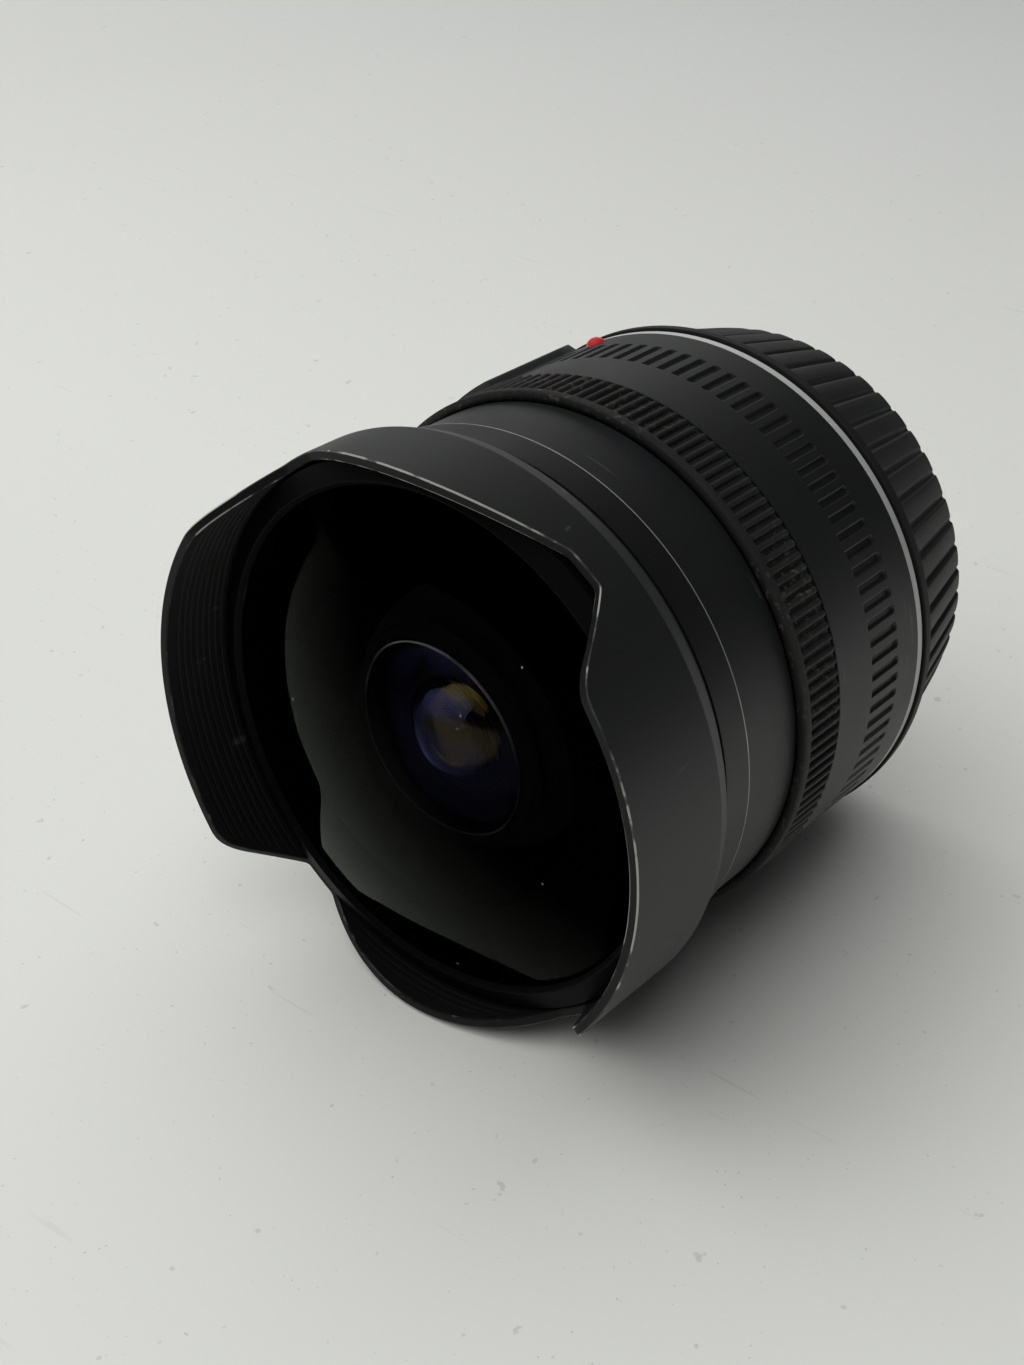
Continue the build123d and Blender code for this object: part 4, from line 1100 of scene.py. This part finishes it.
@dataclass
class FocusGrip:
    """Rubber of the focus ring: a plain front edge and ribs along the axis."""

    count: int = 147
    crown: float = 34.7
    root: float = 34.15
    inner: float = 33.55
    front: float = -27.85
    rear: float = -20.22
    rib_front: float = -26.6
    rib_middle: float = -23.7
    rib_rear: float = -20.45
    rib_share: float = 0.52
    slope_share: float = 0.09
    crown_fall: float = 0.06
    shares: tuple[float, ...] = (-0.5, -0.36, -0.32, -0.29, -0.25, -0.12, 0.12, 0.25, 0.29, 0.32, 0.36)

    def rib(self) -> Array:
        """Height of one rib over its pitch: a square wave with sloping sides and a low crown.

        Returns:
            Shares of the full height, one for each column of a pitch.
        """
        reach = np.abs(self.shares)
        half = self.rib_share / 2
        rise = 1 - smooth_step((reach - (half - self.slope_share / 2)) / self.slope_share)
        return rise - self.crown_fall * (reach / half) ** 2 * (rise > 0.5)

    def profile(self) -> list[Triple]:
        """Rows of the outside.

        Returns:
            (station, height all round, height of the ribs) from the front to the rear.
        """
        front, rear = self.rib_front, self.rib_rear
        return [
            (self.front, 0.0, 0.0), (self.front, 0.25, 0.0), (self.front + 0.02, 0.82, 0.0),
            (self.front + 0.10, 1.0, 0.0), (front - 0.12, 1.0, 0.0), (front - 0.02, 0.97, 0.0),
            (front + 0.03, 0.88, 0.6), (front + 0.10, 0.8, 1.0), (front + 0.35, 0.0, 1.0),
            (front + 0.6, 0.0, 1.0), (self.rib_middle, 0.0, 1.0), (rear - 0.45, 0.0, 1.0),
            (rear - 0.15, 0.0, 0.97), (rear - 0.04, 0.0, 0.85), (rear + 0.03, 0.0, 0.4),
            (rear + 0.08, 0.0, 0.12), (self.rear - 0.08, 0.0, 0.1), (self.rear, 0.0, 0.0),
        ]

    def build(self) -> Piece:
        """Grid whose radius is the root plus the larger of the plain height and the ribs' height.

        Returns:
            The closed piece, with the depth of the hollows for its rubber.
        """
        centre = np.arange(self.count) + self.rib_share / 2
        rows = GridRows(((centre[:, None] + np.array(self.shares)) * FULL_TURN / self.count).ravel())
        ribs = np.tile(self.rib(), self.count)
        step = self.crown - self.root
        for station, plain, share in self.profile():
            rows.add(self.root + step * np.maximum(plain, share * ribs), station)
        rows.follow([(self.inner, self.rear), (self.inner, self.front)])
        piece = grid_piece("grip_ribbed", rows.points())
        store(piece, "hollow", 1 - np.clip((rows.arrays()[0] - self.root) / step, 0, 1))
        return piece

    def dress(self) -> None:
        """Finish the rubber."""
        settle(self.build(), "focus_ring", RUBBER, ["focus_grip"])


@dataclass
class RearBarrel:
    """Rear housing with sunk grooves, a raised panel, the distance window's opening and the switch's slot."""

    radius: float = 34.3
    inner: float = 32.7
    front: float = -19.9
    front_drop: float = 0.08
    trim_front: float = -2.0
    rear: float = -0.95
    trim_inner: float = 33.2
    lip_inner: float = 31.1
    lip_front: float = -3.4
    groove_pitch: float = 360 / 97
    groove_first: float = 62.7
    groove_used: int = 64
    groove_width: float = 1.05
    groove_depth: float = 0.4
    groove_front: float = -12.7
    groove_rear: float = -6.7
    panel_half: float = 58.0
    panel_rise: float = 1.2
    panel_rear: float = -2.2
    panel_slope: float = 1.0
    panel_corner: float = 2.2
    window_half: float = 14.0
    window: tuple[float, float] = (-17.4, -11.8)
    window_ledge: float = 0.9
    window_depth: float = 0.8
    switch_angle: float = 38.0
    switch: tuple[float, float] = (-15.5, -6.5)
    switch_width: float = 4.0
    switch_floor: float = 33.2
    wall_start: float = 0.03
    groove_wall: float = 0.1
    pocket_wall: float = 0.06
    column_step: float = 2.4
    row_step: float = 2.2
    inner_step: int = 9
    edge_rows: tuple[float, ...] = (-0.12, -0.03, 0.03, 0.12)
    trim: tuple[Corner, ...] = (
        (33.25, -1.95, 0.03), (34.3, -1.95, 0.08), (34.3, -0.95, 0.08), (33.25, -0.95, 0.03))

    @property
    def panel_radius(self) -> float:
        """Radius of the raised panel."""
        return self.radius + self.panel_rise

    @property
    def window_reach(self) -> float:
        """Half the window pocket's width along the panel."""
        return math.radians(self.window_half) * self.panel_radius

    @property
    def opening(self) -> tuple[float, float]:
        """Stations between which the window goes through."""
        return self.window[0] + self.window_ledge, self.window[1] - self.window_ledge

    def columns(self) -> Array:
        """Clock angles with a few close columns at each groove, panel and pocket edge.

        Returns:
            Angles in degrees from -180 to 180, in order.
        """
        degree = math.degrees(1 / self.radius)
        groove = self.groove_first + np.arange(self.groove_used) * self.groove_pitch
        outward = np.array([0.16, 0.03, -0.07, -0.2]) + self.groove_width / 2
        offsets = np.concatenate([-outward, [0], outward])
        panel = self.panel_half + np.linspace(-1.3, 0.3, 9) * degree
        values = [(groove[:, None] + offsets * degree).ravel(), groove + self.groove_pitch / 2, -panel, panel]
        pockets = (
            (0, self.window_reach), (0, self.window_reach - self.window_ledge),
            (self.switch_angle, self.switch_width / 2))
        for centre, reach in pockets:
            places = (np.array([-reach, reach])[:, None] + np.array(self.edge_rows)).ravel()
            values.append(centre + np.degrees(places / self.panel_radius))
        values.append(np.arange(-180, 180, self.column_step))
        return merged(np.mod(np.concatenate(values) + 180, FULL_TURN) - 180, 0.012)

    def rows(self) -> Array:
        """Stations with close rows at the ends of the grooves, the panel and the pockets.

        Returns:
            Stations from the front edge to the trim ring, in order.
        """
        edges = np.array([*self.window, *self.opening, *self.switch])
        values = np.concatenate([
            self.front + np.array([0, 0.04, 0.12, 0.3]), [self.trim_front],
            self.groove_front + np.array([-0.14, -0.03, 0.07, 0.2]),
            self.groove_rear - np.array([1.2, 0.62, 0.5, 0.4, 0.3, 0.2, 0.12, 0.05, -0.02, -0.08, -0.2]),
            self.panel_rear - np.linspace(1.4, 0.0, 9), (edges[:, None] + np.array(self.edge_rows)).ravel(),
            np.arange(self.front + 1, self.trim_front, self.row_step),
        ])
        return merged(values[values <= self.trim_front], 0.02)

    def inner_rows(self, station: Array) -> Array:
        """Outer rows that the inner wall repeats: all of them at the window, one in a few elsewhere.

        Args:
            station: stations of the outer rows.

        Returns:
            Row numbers from the rear to the front.
        """
        near_window = (station > self.window[0] - 0.2) & (station < self.window[1] + 0.2)
        repeated = near_window | (np.arange(len(station)) % self.inner_step == 0)
        return np.flatnonzero(repeated & (station < self.lip_front - 0.15))[::-1]

    def pocket(
        self, angle: Array, station: Array, centre: float, half: float, span: tuple[float, float],
    ) -> Array:
        """Share from 0 outside a rectangular pocket to 1 inside it, over a short wall.

        Args:
            angle: clock angles in degrees.
            station: stations in millimetres.
            centre: clock angle of the pocket's middle.
            half: half its width along the panel.
            span: its front and rear end.

        Returns:
            Shares from 0 to 1.
        """
        across = half - np.radians(np.abs(angle - centre)) * self.panel_radius
        along = np.minimum(station - span[0], span[1] - station)
        return smooth_step((np.minimum(across, along) + self.wall_start) / self.pocket_wall)

    def outside(self, angle: Array, station: Array) -> Array:
        """Radius of the outside.

        Housing radius, plus the panel's rise with sloping sides and a sloping rear end, less the grooves,
        whose rear ends are half rounds, less the pockets of the window and the switch.

        Args:
            angle: clock angles in degrees.
            station: stations in millimetres.

        Returns:
            Radii in millimetres.
        """
        degree = math.degrees(1 / self.radius)
        side = np.maximum(self.panel_corner - (self.panel_half - np.abs(angle)) / degree, 0)
        end = np.maximum(self.panel_corner - (self.panel_rear - station), 0)
        height = self.radius + self.panel_rise * smooth_step(
            (self.panel_corner - np.hypot(side, end)) / self.panel_slope)

        wrapped = angle + np.where(angle < self.groove_first - self.groove_pitch, FULL_TURN, 0)
        index = np.clip(np.round((wrapped - self.groove_first) / self.groove_pitch), 0, self.groove_used - 1)
        across = np.abs(wrapped - self.groove_first - index * self.groove_pitch) / degree
        half = self.groove_width / 2
        past = np.maximum(station - (self.groove_rear - half), 0)
        inside = np.minimum(half - np.hypot(across, past), station - self.groove_front)
        height = height - self.groove_depth * smooth_step((inside + self.wall_start) / self.groove_wall)

        seat = self.pocket(angle, station, 0, self.window_reach, self.window)
        slot = self.pocket(angle, station, self.switch_angle, self.switch_width / 2, self.switch)
        return height - seat * self.window_depth - slot * (self.panel_radius - self.switch_floor)

    def open_window(self, faces: Array, angle: Array, station: Array, mirror: Array) -> Array:
        """Take the window's opening out of both walls and line it.

        Args:
            faces: quads of the whole grid.
            angle: clock angles of the columns.
            station: stations of the outer rows.
            mirror: grid row of the inner wall for each outer row, or -1.

        Returns:
            The quads left, and those of the four sides of the opening.
        """
        columns = len(angle)
        half = self.window_half - math.degrees(self.window_ledge / self.panel_radius)
        low, high = self.opening
        left, right = np.flatnonzero(np.abs(angle) < half)[[0, -1]]
        front, rear = np.flatnonzero((station > low) & (station < high))[[0, -1]]
        row, column = np.divmod(faces[:, 0], columns)
        outer = (row >= front) & (row < rear)
        inner = (row >= mirror[rear]) & (row < mirror[front])
        hole = (column >= left) & (column < right) & (outer | inner)

        def wall(outside: Array, inside: Array, turned: bool) -> Array:
            """Quads between two lines of points."""
            quads = np.stack([outside[:-1], outside[1:], inside[1:], inside[:-1]], axis=1)
            return quads[:, ::-1] if turned else quads

        along, across = np.arange(front, rear + 1), np.arange(left, right + 1)
        sides = [
            wall(along * columns + at, mirror[along] * columns + at, at == left) for at in (left, right)]
        ends = [
            wall(at * columns + across, mirror[at] * columns + across, at == rear) for at in (front, rear)]
        lining = [np.stack(pair, axis=1).reshape(-1, 4) for pair in (sides, ends)]
        return np.concatenate([faces[~hole], *lining])

    def build(self) -> Piece:
        """One closed grid: outer rows, rear end with the trim ring's seat and the lip, inner rows.

        Returns:
            The piece, open where the window goes through.
        """
        angle, station = self.columns(), self.rows()
        inner_rows = self.inner_rows(station)
        height = self.outside(angle[None, :], station[:, None])
        height[0] -= self.front_drop
        tail = rounded_outline([
            (self.radius, self.trim_front - 0.3, 0), (self.radius, self.trim_front, 0.06),
            (self.trim_inner, self.trim_front, 0.04), (self.trim_inner, self.rear, 0.06),
            (self.lip_inner, self.rear, 0.06), (self.lip_inner, self.lip_front, 0.05),
            (self.inner, self.lip_front, 0.05), (self.inner, self.lip_front - 0.2, 0),
        ], closed=False)[2:-1]
        rows = GridRows(angle)
        for radius, place in zip(height[:-1], station):
            rows.add(radius, place)
        rows.follow(tail)
        rows.follow([(self.inner, place) for place in station[inner_rows]])
        points = rows.points()
        mirror = np.full(len(station), -1)
        mirror[inner_rows] = np.arange(len(points) - len(inner_rows), len(points))
        faces = self.open_window(grid_faces(*points.shape[:2], True, True), angle, station, mirror)
        used, place = np.unique(faces, return_inverse=True)
        return make_mesh("rear_housing", points.reshape(-1, 3)[used], place.reshape(-1, 4).tolist())

    def dress(self) -> None:
        """Finish the housing and its trim ring."""
        settle(self.build(), "barrel", BARREL_PAINT, ["rear_barrel"])
        trim = lathe("trim_ring", rounded_outline(self.trim))
        settle(trim, "barrel", TRIM_GREY, ["grey_trim_ring"])


@dataclass
class ScaleMarks:
    """Thin black strip round the drum behind the distance window, with white ticks and plain numbers.

    The strip is longer than the drum and runs over the motor, so that it fills the window over the whole
    turn. A number is drawn with up to seven straight strokes, as on a pocket calculator. It reads from behind
    the lens: its height runs along the axis with its head to the front, and it reads towards smaller clock
    angles.
    """

    strip_inner: float = 32.42
    strip_front: float = -18.6
    strip_rear: float = -11.5
    strip_start: float = -92.0
    strip_end: float = 48.0
    radius: float = 32.54
    height: float = 0.06
    stroke: float = 0.2
    head: float = -16.1
    foot: float = -14.5
    width: float = 0.95
    gap: float = 0.02
    tick: tuple[float, float] = (-14.0, -13.1)
    tick_half: float = 0.09
    tick_pitch: float = 3.5
    tick_span: tuple[float, float] = (-89.0, 46.0)
    numbers: tuple[tuple[float, str], ...] = (
        (-84, "7"), (-73, "5"), (-62, "1"), (-50, "2"), (-39, "3"), (-29, "4"), (-18, "5"), (-7, "7"),
        (6, "1"), (19, "2"), (33, "5"))

    @staticmethod
    def strokes(digit: str) -> str:
        """Strokes of a digit: t, m and b lie across it, l and r (lower half: L and R) stand upright."""
        return {"1": "rR", "2": "trmLb", "3": "trmRb", "4": "lmrR", "5": "tlmRb", "7": "trR"}[digit]

    def bar(self, angle: float, half: float, low: float, high: float) -> tuple[Array, list]:
        """One raised bar.

        Args:
            angle: clock angle of its middle.
            half: half its width in millimetres.
            low: station of its front end.
            high: station of its rear end.

        Returns:
            Points in metres and faces that index them.
        """
        top = self.radius + self.height
        outline = np.array([(self.radius, low), (top, low), (top, high), (self.radius, high)])
        reach = math.degrees(half / self.radius)
        return arc_bar(outline, angle + np.linspace(-reach, reach, 3))

    def digit(self, angle: float, digit: str) -> list[tuple[Array, list]]:
        """Bars of one number.

        Args:
            angle: clock angle of its middle.
            digit: the number.

        Returns:
            One (points, faces) pair for each stroke.
        """
        middle = (self.head + self.foot) / 2
        half = self.stroke / 2
        side = math.degrees(self.width / 2 / self.radius)
        level = {"t": self.head, "m": middle, "b": self.foot}
        upright = {
            "l": (side, self.head, middle), "r": (-side, self.head, middle),
            "L": (side, middle, self.foot), "R": (-side, middle, self.foot)}
        bars = []
        for stroke in self.strokes(digit):
            if stroke in level:
                place = level[stroke]
                bars.append(self.bar(angle, self.width / 2 - half - self.gap, place - half, place + half))
            else:
                offset, low, high = upright[stroke]
                bars.append(self.bar(angle + offset, half, low - half + self.gap, high + half - self.gap))
        return bars

    def build(self) -> Piece:
        """Join all numbers and ticks.

        Returns:
            The marks as one piece.
        """
        bars = [bar for angle, digit in self.numbers for bar in self.digit(angle, digit)]
        ticks = np.arange(*self.tick_span, self.tick_pitch)
        return joined("scale_marks", bars + [self.bar(angle, self.tick_half, *self.tick) for angle in ticks])

    def build_strip(self) -> Piece:
        """Build the strip that carries the marks.

        Returns:
            The strip.
        """
        outline = np.array([
            (self.strip_inner, self.strip_front), (self.radius, self.strip_front),
            (self.radius, self.strip_rear), (self.strip_inner, self.strip_rear)])
        angle = np.linspace(self.strip_start, self.strip_end, round(self.strip_end - self.strip_start) + 1)
        return joined("scale_strip", [arc_bar(outline, angle)])

    def dress(self) -> None:
        """Finish the strip and the marks."""
        settle(self.build_strip(), "focus_ring", DRUM_BLACK)
        settle(self.build(), "focus_ring", SCALE_WHITE)


@dataclass
class RearCap:
    """Rear cap with a saw-toothed grip that tapers to a flat end."""

    teeth: int = 57
    rim: float = 34.6
    rim_front: float = -0.45
    rim_rear: float = 0.7
    front_radius: float = 33.9
    end_radius: float = 30.2
    end: float = 17.2
    rise: float = 0.62
    round_off: float = 1.3
    rim_inner: float = 32.8
    recess: float = 16.7
    floor: float = 14.8
    tube_inner: float = 27.3
    tube_outer: float = 28.7
    tube_front: float = 0.3
    tube_rear: float = 11.6
    shoulder: float = 31.5
    rim_floor: float = 0.1
    recess_radius: float = 24.0
    first_ring: float = 1.0
    recess_ring: float = 12.0
    end_ring: float = 28.0
    grip_front: float = 0.7
    grip_fade: float = 0.35
    tab_inner: float = 25.1
    tab_middle: float = 85.0
    tab_half: float = 20.0
    tab_span: tuple[float, float] = (0.4, 1.8)
    shares: tuple[float, ...] = (0.0, 0.03, 0.07, 0.15, 0.27, 0.42, 0.57, 0.70, 0.79, 0.83, 0.87, 0.92)

    @staticmethod
    def tooth(share: Array) -> Array:
        """Height of one tooth: a gentle crown that falls by a sharper step at its end.

        At a share s the crown is 1 - 0.45 |(s - 0.30) / 0.55|^1.7. It is cut off before 0.06 and from 0.80 on.

        Args:
            share: places along the pitch, from 0 to 1.

        Returns:
            Shares of the full height.
        """
        crown = 1 - 0.45 * np.abs((share - 0.30) / 0.55) ** 1.7
        valley = smooth_step((share - 0.80) / 0.10) + smooth_step((0.06 - share) / 0.06)
        return np.clip(crown, 0, 1) * (1 - np.clip(valley, 0, 1))

    def front(self) -> Array:
        """Outline of the inside, the tube and the rim.

        Returns:
            (radius, station) rows from the axis to the foot of the grip.
        """
        return rounded_outline([
            (self.first_ring, self.floor, 0), (self.tube_inner, self.floor, 0.3),
            (self.tube_inner, self.tube_front, 0.15), (self.tube_outer, self.tube_front, 0.15),
            (self.tube_outer, self.tube_rear, 0.1), (self.shoulder, self.rim_floor, 0.1),
            (self.rim_inner, self.rim_floor, 0.05), (self.rim_inner, self.rim_front, 0.08),
            (self.rim, self.rim_front, 0.16), (self.rim, self.rim_rear, 0.12),
            (self.front_radius - self.rise - 0.15, self.rim_rear + 0.02, 0)], closed=False)

    def add_grip(self, rows: GridRows) -> None:
        """Add the toothed outside: a straight taper, then a quarter round to the flat end.

        Radius = taper(y) - rise * (1 - tooth(angle) * fade(y)), less what the quarter round takes away.

        Args:
            rows: the grid so far.
        """
        teeth = np.tile(self.tooth(np.array(self.shares)), self.teeth)
        last = self.end - self.round_off
        fall = (self.end_radius - self.front_radius) / (last - self.grip_front)
        straight = np.concatenate([
            [0.72, 0.8, 1.0, 1.4], np.linspace(2.4, last - 0.6, 9), [last - 0.2, last]])
        for station in straight:
            taper = self.front_radius + fall * (station - self.grip_front)
            fade = smooth_step((station - 0.66) / 0.3) * (1 - self.grip_fade * (station / last) ** 6)
            rows.add(taper - self.rise + self.rise * teeth * fade, station)
        for step in np.linspace(0.15, 1, 6):
            turn = step * math.pi / 2
            taper = self.end_radius - self.round_off * (1 - math.cos(turn))
            fade = (1 - self.grip_fade) * (1 - step) ** 0.7
            rows.add(taper - self.rise + self.rise * teeth * fade, last + self.round_off * math.sin(turn))

    def build(self) -> Piece:
        """Plain rings inside, the toothed grip outside, and the shallow recess in the end.

        Returns:
            The closed piece.
        """
        places = np.arange(self.teeth)[:, None] + np.array(self.shares)
        rows = GridRows((places * FULL_TURN / self.teeth).ravel())
        rows.follow(self.front())
        self.add_grip(rows)
        rows.follow(rounded_outline([
            (self.end_ring, self.end, 0), (self.recess_radius + 0.3, self.end, 0.12),
            (self.recess_radius, self.recess, 0.12), (self.recess_ring, self.recess, 0.5),
            (self.first_ring, self.recess, 0)], closed=False))
        return polar_piece("cap_shell", rows.points(), axis_points((self.floor, self.recess)))

    def build_tabs(self) -> Piece:
        """Build the three inward tabs that catch the lens mount.

        Returns:
            The tabs as one piece.
        """
        root = self.tube_inner + 0.1
        outline = anticlockwise(rounded_outline([
            (self.tab_inner, self.tab_span[0], 0.15), (root, self.tab_span[0], 0.05),
            (root, self.tab_span[1], 0.05), (self.tab_inner, self.tab_span[1], 0.15)]))
        spread = np.linspace(-self.tab_half, self.tab_half, 25)
        tabs = [arc_bar(outline, self.tab_middle + turn + spread) for turn in (0, 120, 240)]
        return joined("cap_tabs", tabs)

    def dress(self) -> None:
        """Finish the cap."""
        settle(self.build(), "rear_cap", CAP_PLASTIC, ["rear_cap"])
        settle(self.build_tabs(), "rear_cap", CAP_PLASTIC)


@dataclass
class IndexBead:
    """Red bead that shows how to fit the lens."""

    radius: float = 1.3
    flatness: float = 0.92
    sunk: float = 0.35
    seat: float = 34.3
    angle: float = 64.0
    station: float = -4.0
    base_latitude: float = -0.6
    base_depth: float = 0.56
    columns: int = 40

    def build(self) -> Piece:
        """Flattened half ball: a grid of latitude and longitude, carried to its place on the housing.

        Returns:
            The closed piece.
        """
        latitude = np.linspace(self.base_latitude, math.pi / 2, 16)[:-1, None]
        longitude = -np.arange(self.columns)[None, :] * 2 * math.pi / self.columns
        turn = math.radians(self.angle)
        radial = np.array([-math.cos(turn), 0, math.sin(turn)])
        tangent = np.array([math.sin(turn), 0, math.cos(turn)])
        axis = np.array([0, 1.0, 0])
        centre = radial * (self.seat - self.sunk) + axis * self.station

        out = np.sin(latitude) * self.flatness * np.ones(self.columns)
        along = np.cos(latitude) * np.cos(longitude)
        across = np.cos(latitude) * np.sin(longitude)
        ball = out[..., None] * radial + along[..., None] * axis + across[..., None] * tangent
        poles = np.outer((-self.base_depth, self.flatness), radial)
        grid, ends = ((centre + self.radius * points) * MM for points in (ball, poles))
        return polar_piece("index_bead", grid, ends)

    def dress(self) -> None:
        """Finish the bead."""
        settle(self.build(), "barrel", BEAD_RED, ["index_dot"])


@dataclass
class Works:
    """Nodes of the frame that keep their own shape and only get a finish."""

    def dress(self) -> None:
        """Give every kept node its finish."""
        finishes: dict[object, tuple[str, ...]] = {
            WORKS_BLACK: (
                "front_cell", "rear_cell", "retaining_rings", "focus_sleeve", "focus_ring", "iris_base",
                "iris_cover", "iris_drive_ring", "rear_baffle"),
            WORKS_BARE: ("inner_barrel", "cam_ring", "gear_bridge"),
            MOUNT_CHROME: ("bayonet_mount",),
            SCREW_STEEL: ("mount_screws", "cam_rollers"),
            SCREW_BLACK: ("hood_screws",),
            CONTACT_PLASTIC: ("contact_block",),
            CONTACT_GOLD: ("contact_pins",),
            BOARD_GREEN: ("circuit_board",),
            BLADE_BLACK: tuple(f"iris_blade_{number}" for number in range(1, 6)),
            GEAR_PLASTIC: ("reduction_gear", "motor_pinion", "iris_pinion"),
            MOTOR_CASE: ("af_motor", "iris_motor"),
            SWITCH_PLASTIC: ("af_switch",),
            DRUM_BLACK: ("scale_drum",),
            DEEP_GLASS: tuple(f"lens_{number}" for number in range(4, 9)),
            WINDOW_CLEAR: ("scale_window",),
        }
        for finish, nodes in finishes.items():
            for node in nodes:
                WARDROBE.dress(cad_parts[node], finish)
        LOG.info("frame nodes dressed")


# Stage


@dataclass(frozen=True)
class Lamp:
    """Soft rectangular lamp aimed at the lens, in metres and watts; glossy surfaces may show it."""

    name: str
    place: Triple
    size: tuple[float, float]
    power: float
    mirrored: bool = False

    def hang(self) -> None:
        """Add the lamp to the scene and aim it."""
        data = bpy.data.lights.new(self.name, "AREA")
        data.shape = "RECTANGLE"
        data.size, data.size_y = self.size
        data.energy = self.power
        lamp = bpy.data.objects.new(self.name, data)
        bpy.context.scene.collection.objects.link(lamp)
        aim = Vector((0, -0.025, 0)) - Vector(self.place)
        lamp.rotation_euler = aim.to_track_quat("-Z", "Y").to_euler()
        lamp.location = self.place
        lamp.visible_glossy = self.mirrored


@dataclass
class Studio:
    """Pale table, soft light and the camera."""

    floor_slope: float = 0.0396
    floor_contact: tuple[float, float] = (-47.3, -36.5)
    floor_half: float = 1.6
    far_shade_span: tuple[float, float] = (0.03, 0.42)
    camera_place: Triple = (132.5, -197.4, 124.4)
    lens: float = 52.75
    right: Triple = (0.76764, 0.64088, 0.0)
    up: Triple = (-0.32693, 0.39159, 0.86010)
    back: Triple = (0.55122, -0.66025, 0.51012)
    world_colour: tuple[float, float, float, float] = (0.95, 0.97, 1.0, 1)
    world_strength: float = 0.03
    world_seen: float = 0.62
    lamps: tuple[Lamp, ...] = (
        Lamp("top_soft", (-0.35, -0.12, 1.15), (3.0, 2.2), 27.0),
        Lamp("front_fill", (-0.1, -1.0, 1.1), (2.0, 1.6), 7.5),
        Lamp("side_fill", (-1.0, -0.2, 0.8), (1.6, 1.6), 6.0),
        Lamp("back_sheen", (-0.75, 0.95, 0.45), (1.2, 0.6), 1.3, mirrored=True),
    )

    def floor_material(self) -> bpy.types.Material:
        """Pale matt table with faint specks, grit and short scratches, and painted shade that darkens it
        towards the back.

        Returns:
            The material.
        """
        tree = Tree("table_pale")
        speck = tree.span(tree.noise(420, 2), 0.72, 0.75)
        grit = tree.span(tree.noise(1500, 1), 0.755, 0.80, 0, 0.5)
        patch = tree.span(tree.noise(45, 1), 0.5, 0.65, 0, 0.22)
        scratch = tree.scratches(tree.noise(36, 1, (1, 26, 1)), (0.735, 0.75), patch)
        colour = tree.blend(tree.noise(6, 3), (0.625, 0.632, 0.598), (0.665, 0.672, 0.638))
        # Painted shade: the table turns darker towards the back.
        colour = tree.blend(tree.span(tree.part("Y"), *self.far_shade_span), colour, (0.48, 0.49, 0.475))
        colour = tree.blend(tree.times(speck, 0.4), colour, (0.35, 0.34, 0.32))
        colour = tree.blend(tree.maths("MAXIMUM", grit, scratch), colour, (0.30, 0.29, 0.27))
        return tree.principled({"Base Color": colour, "Roughness": 0.55, "Specular IOR Level": 0.3})

    def build_floor(self) -> None:
        """One wide sloping plane that touches the hood and the cap."""
        half = self.floor_half
        y0, z0 = (value * MM for value in self.floor_contact)
        corners = [(x, y) for y in (-half, half) for x in (-half, half)]
        points = np.array([(x, y, z0 + (y - y0) * self.floor_slope) for x, y in corners])
        floor = make_mesh("table", points, [[0, 1, 3, 2]], Shading.FLAT)
        floor.data.materials.append(self.floor_material())

    def light(self) -> None:
        """Dim world, pale where the camera looks at it, and the soft lamps."""
        world = bpy.data.worlds.new("room")
        bpy.context.scene.world = world
        world.use_nodes = True
        nodes, links = world.node_tree.nodes, world.node_tree.links
        background = nodes["Background"]
        background.inputs["Color"].default_value = self.world_colour
        share = nodes.new("ShaderNodeMapRange")
        share.inputs["To Min"].default_value = self.world_strength
        share.inputs["To Max"].default_value = self.world_seen
        links.new(nodes.new("ShaderNodeLightPath").outputs["Is Camera Ray"], share.inputs["Value"])
        links.new(share.outputs["Result"], background.inputs["Strength"])
        for lamp in self.lamps:
            lamp.hang()

    def camera(self) -> None:
        """Camera at the photograph's place."""
        data = bpy.data.cameras.new("view")
        data.sensor_fit = "VERTICAL"
        data.sensor_height = 36.0
        data.lens = self.lens
        data.clip_start = 0.01
        data.clip_end = 20
        camera = bpy.data.objects.new("view", data)
        bpy.context.scene.collection.objects.link(camera)
        matrix = Matrix([self.right, self.up, self.back]).transposed().to_4x4()
        matrix.translation = Vector(self.camera_place) * MM
        camera.matrix_world = matrix
        bpy.context.scene.camera = camera

    def build(self) -> None:
        """Set up the whole stage."""
        self.build_floor()
        self.light()
        self.camera()
        bpy.context.scene.view_settings.view_transform = "Standard"


def write_sizes() -> None:
    """Define a helper that turns box corners into plain lists; no box is kept or written."""
    def plain(box: Sequence) -> list:
        """Corners as plain lists."""
        return [[float(value) for value in corner] for corner in box]


def main() -> None:
    """Build every sub-assembly in order."""
    logging.basicConfig(level=logging.INFO, format="%(message)s")
    for group in (Works(), PetalHood(), FrontGroup(), FrontBarrel(), FocusGrip(), RearBarrel(), ScaleMarks(),
                  RearCap(), IndexBead()):
        group.dress()
    Studio().build()
    write_sizes()


if __name__ == "__main__":
    main()
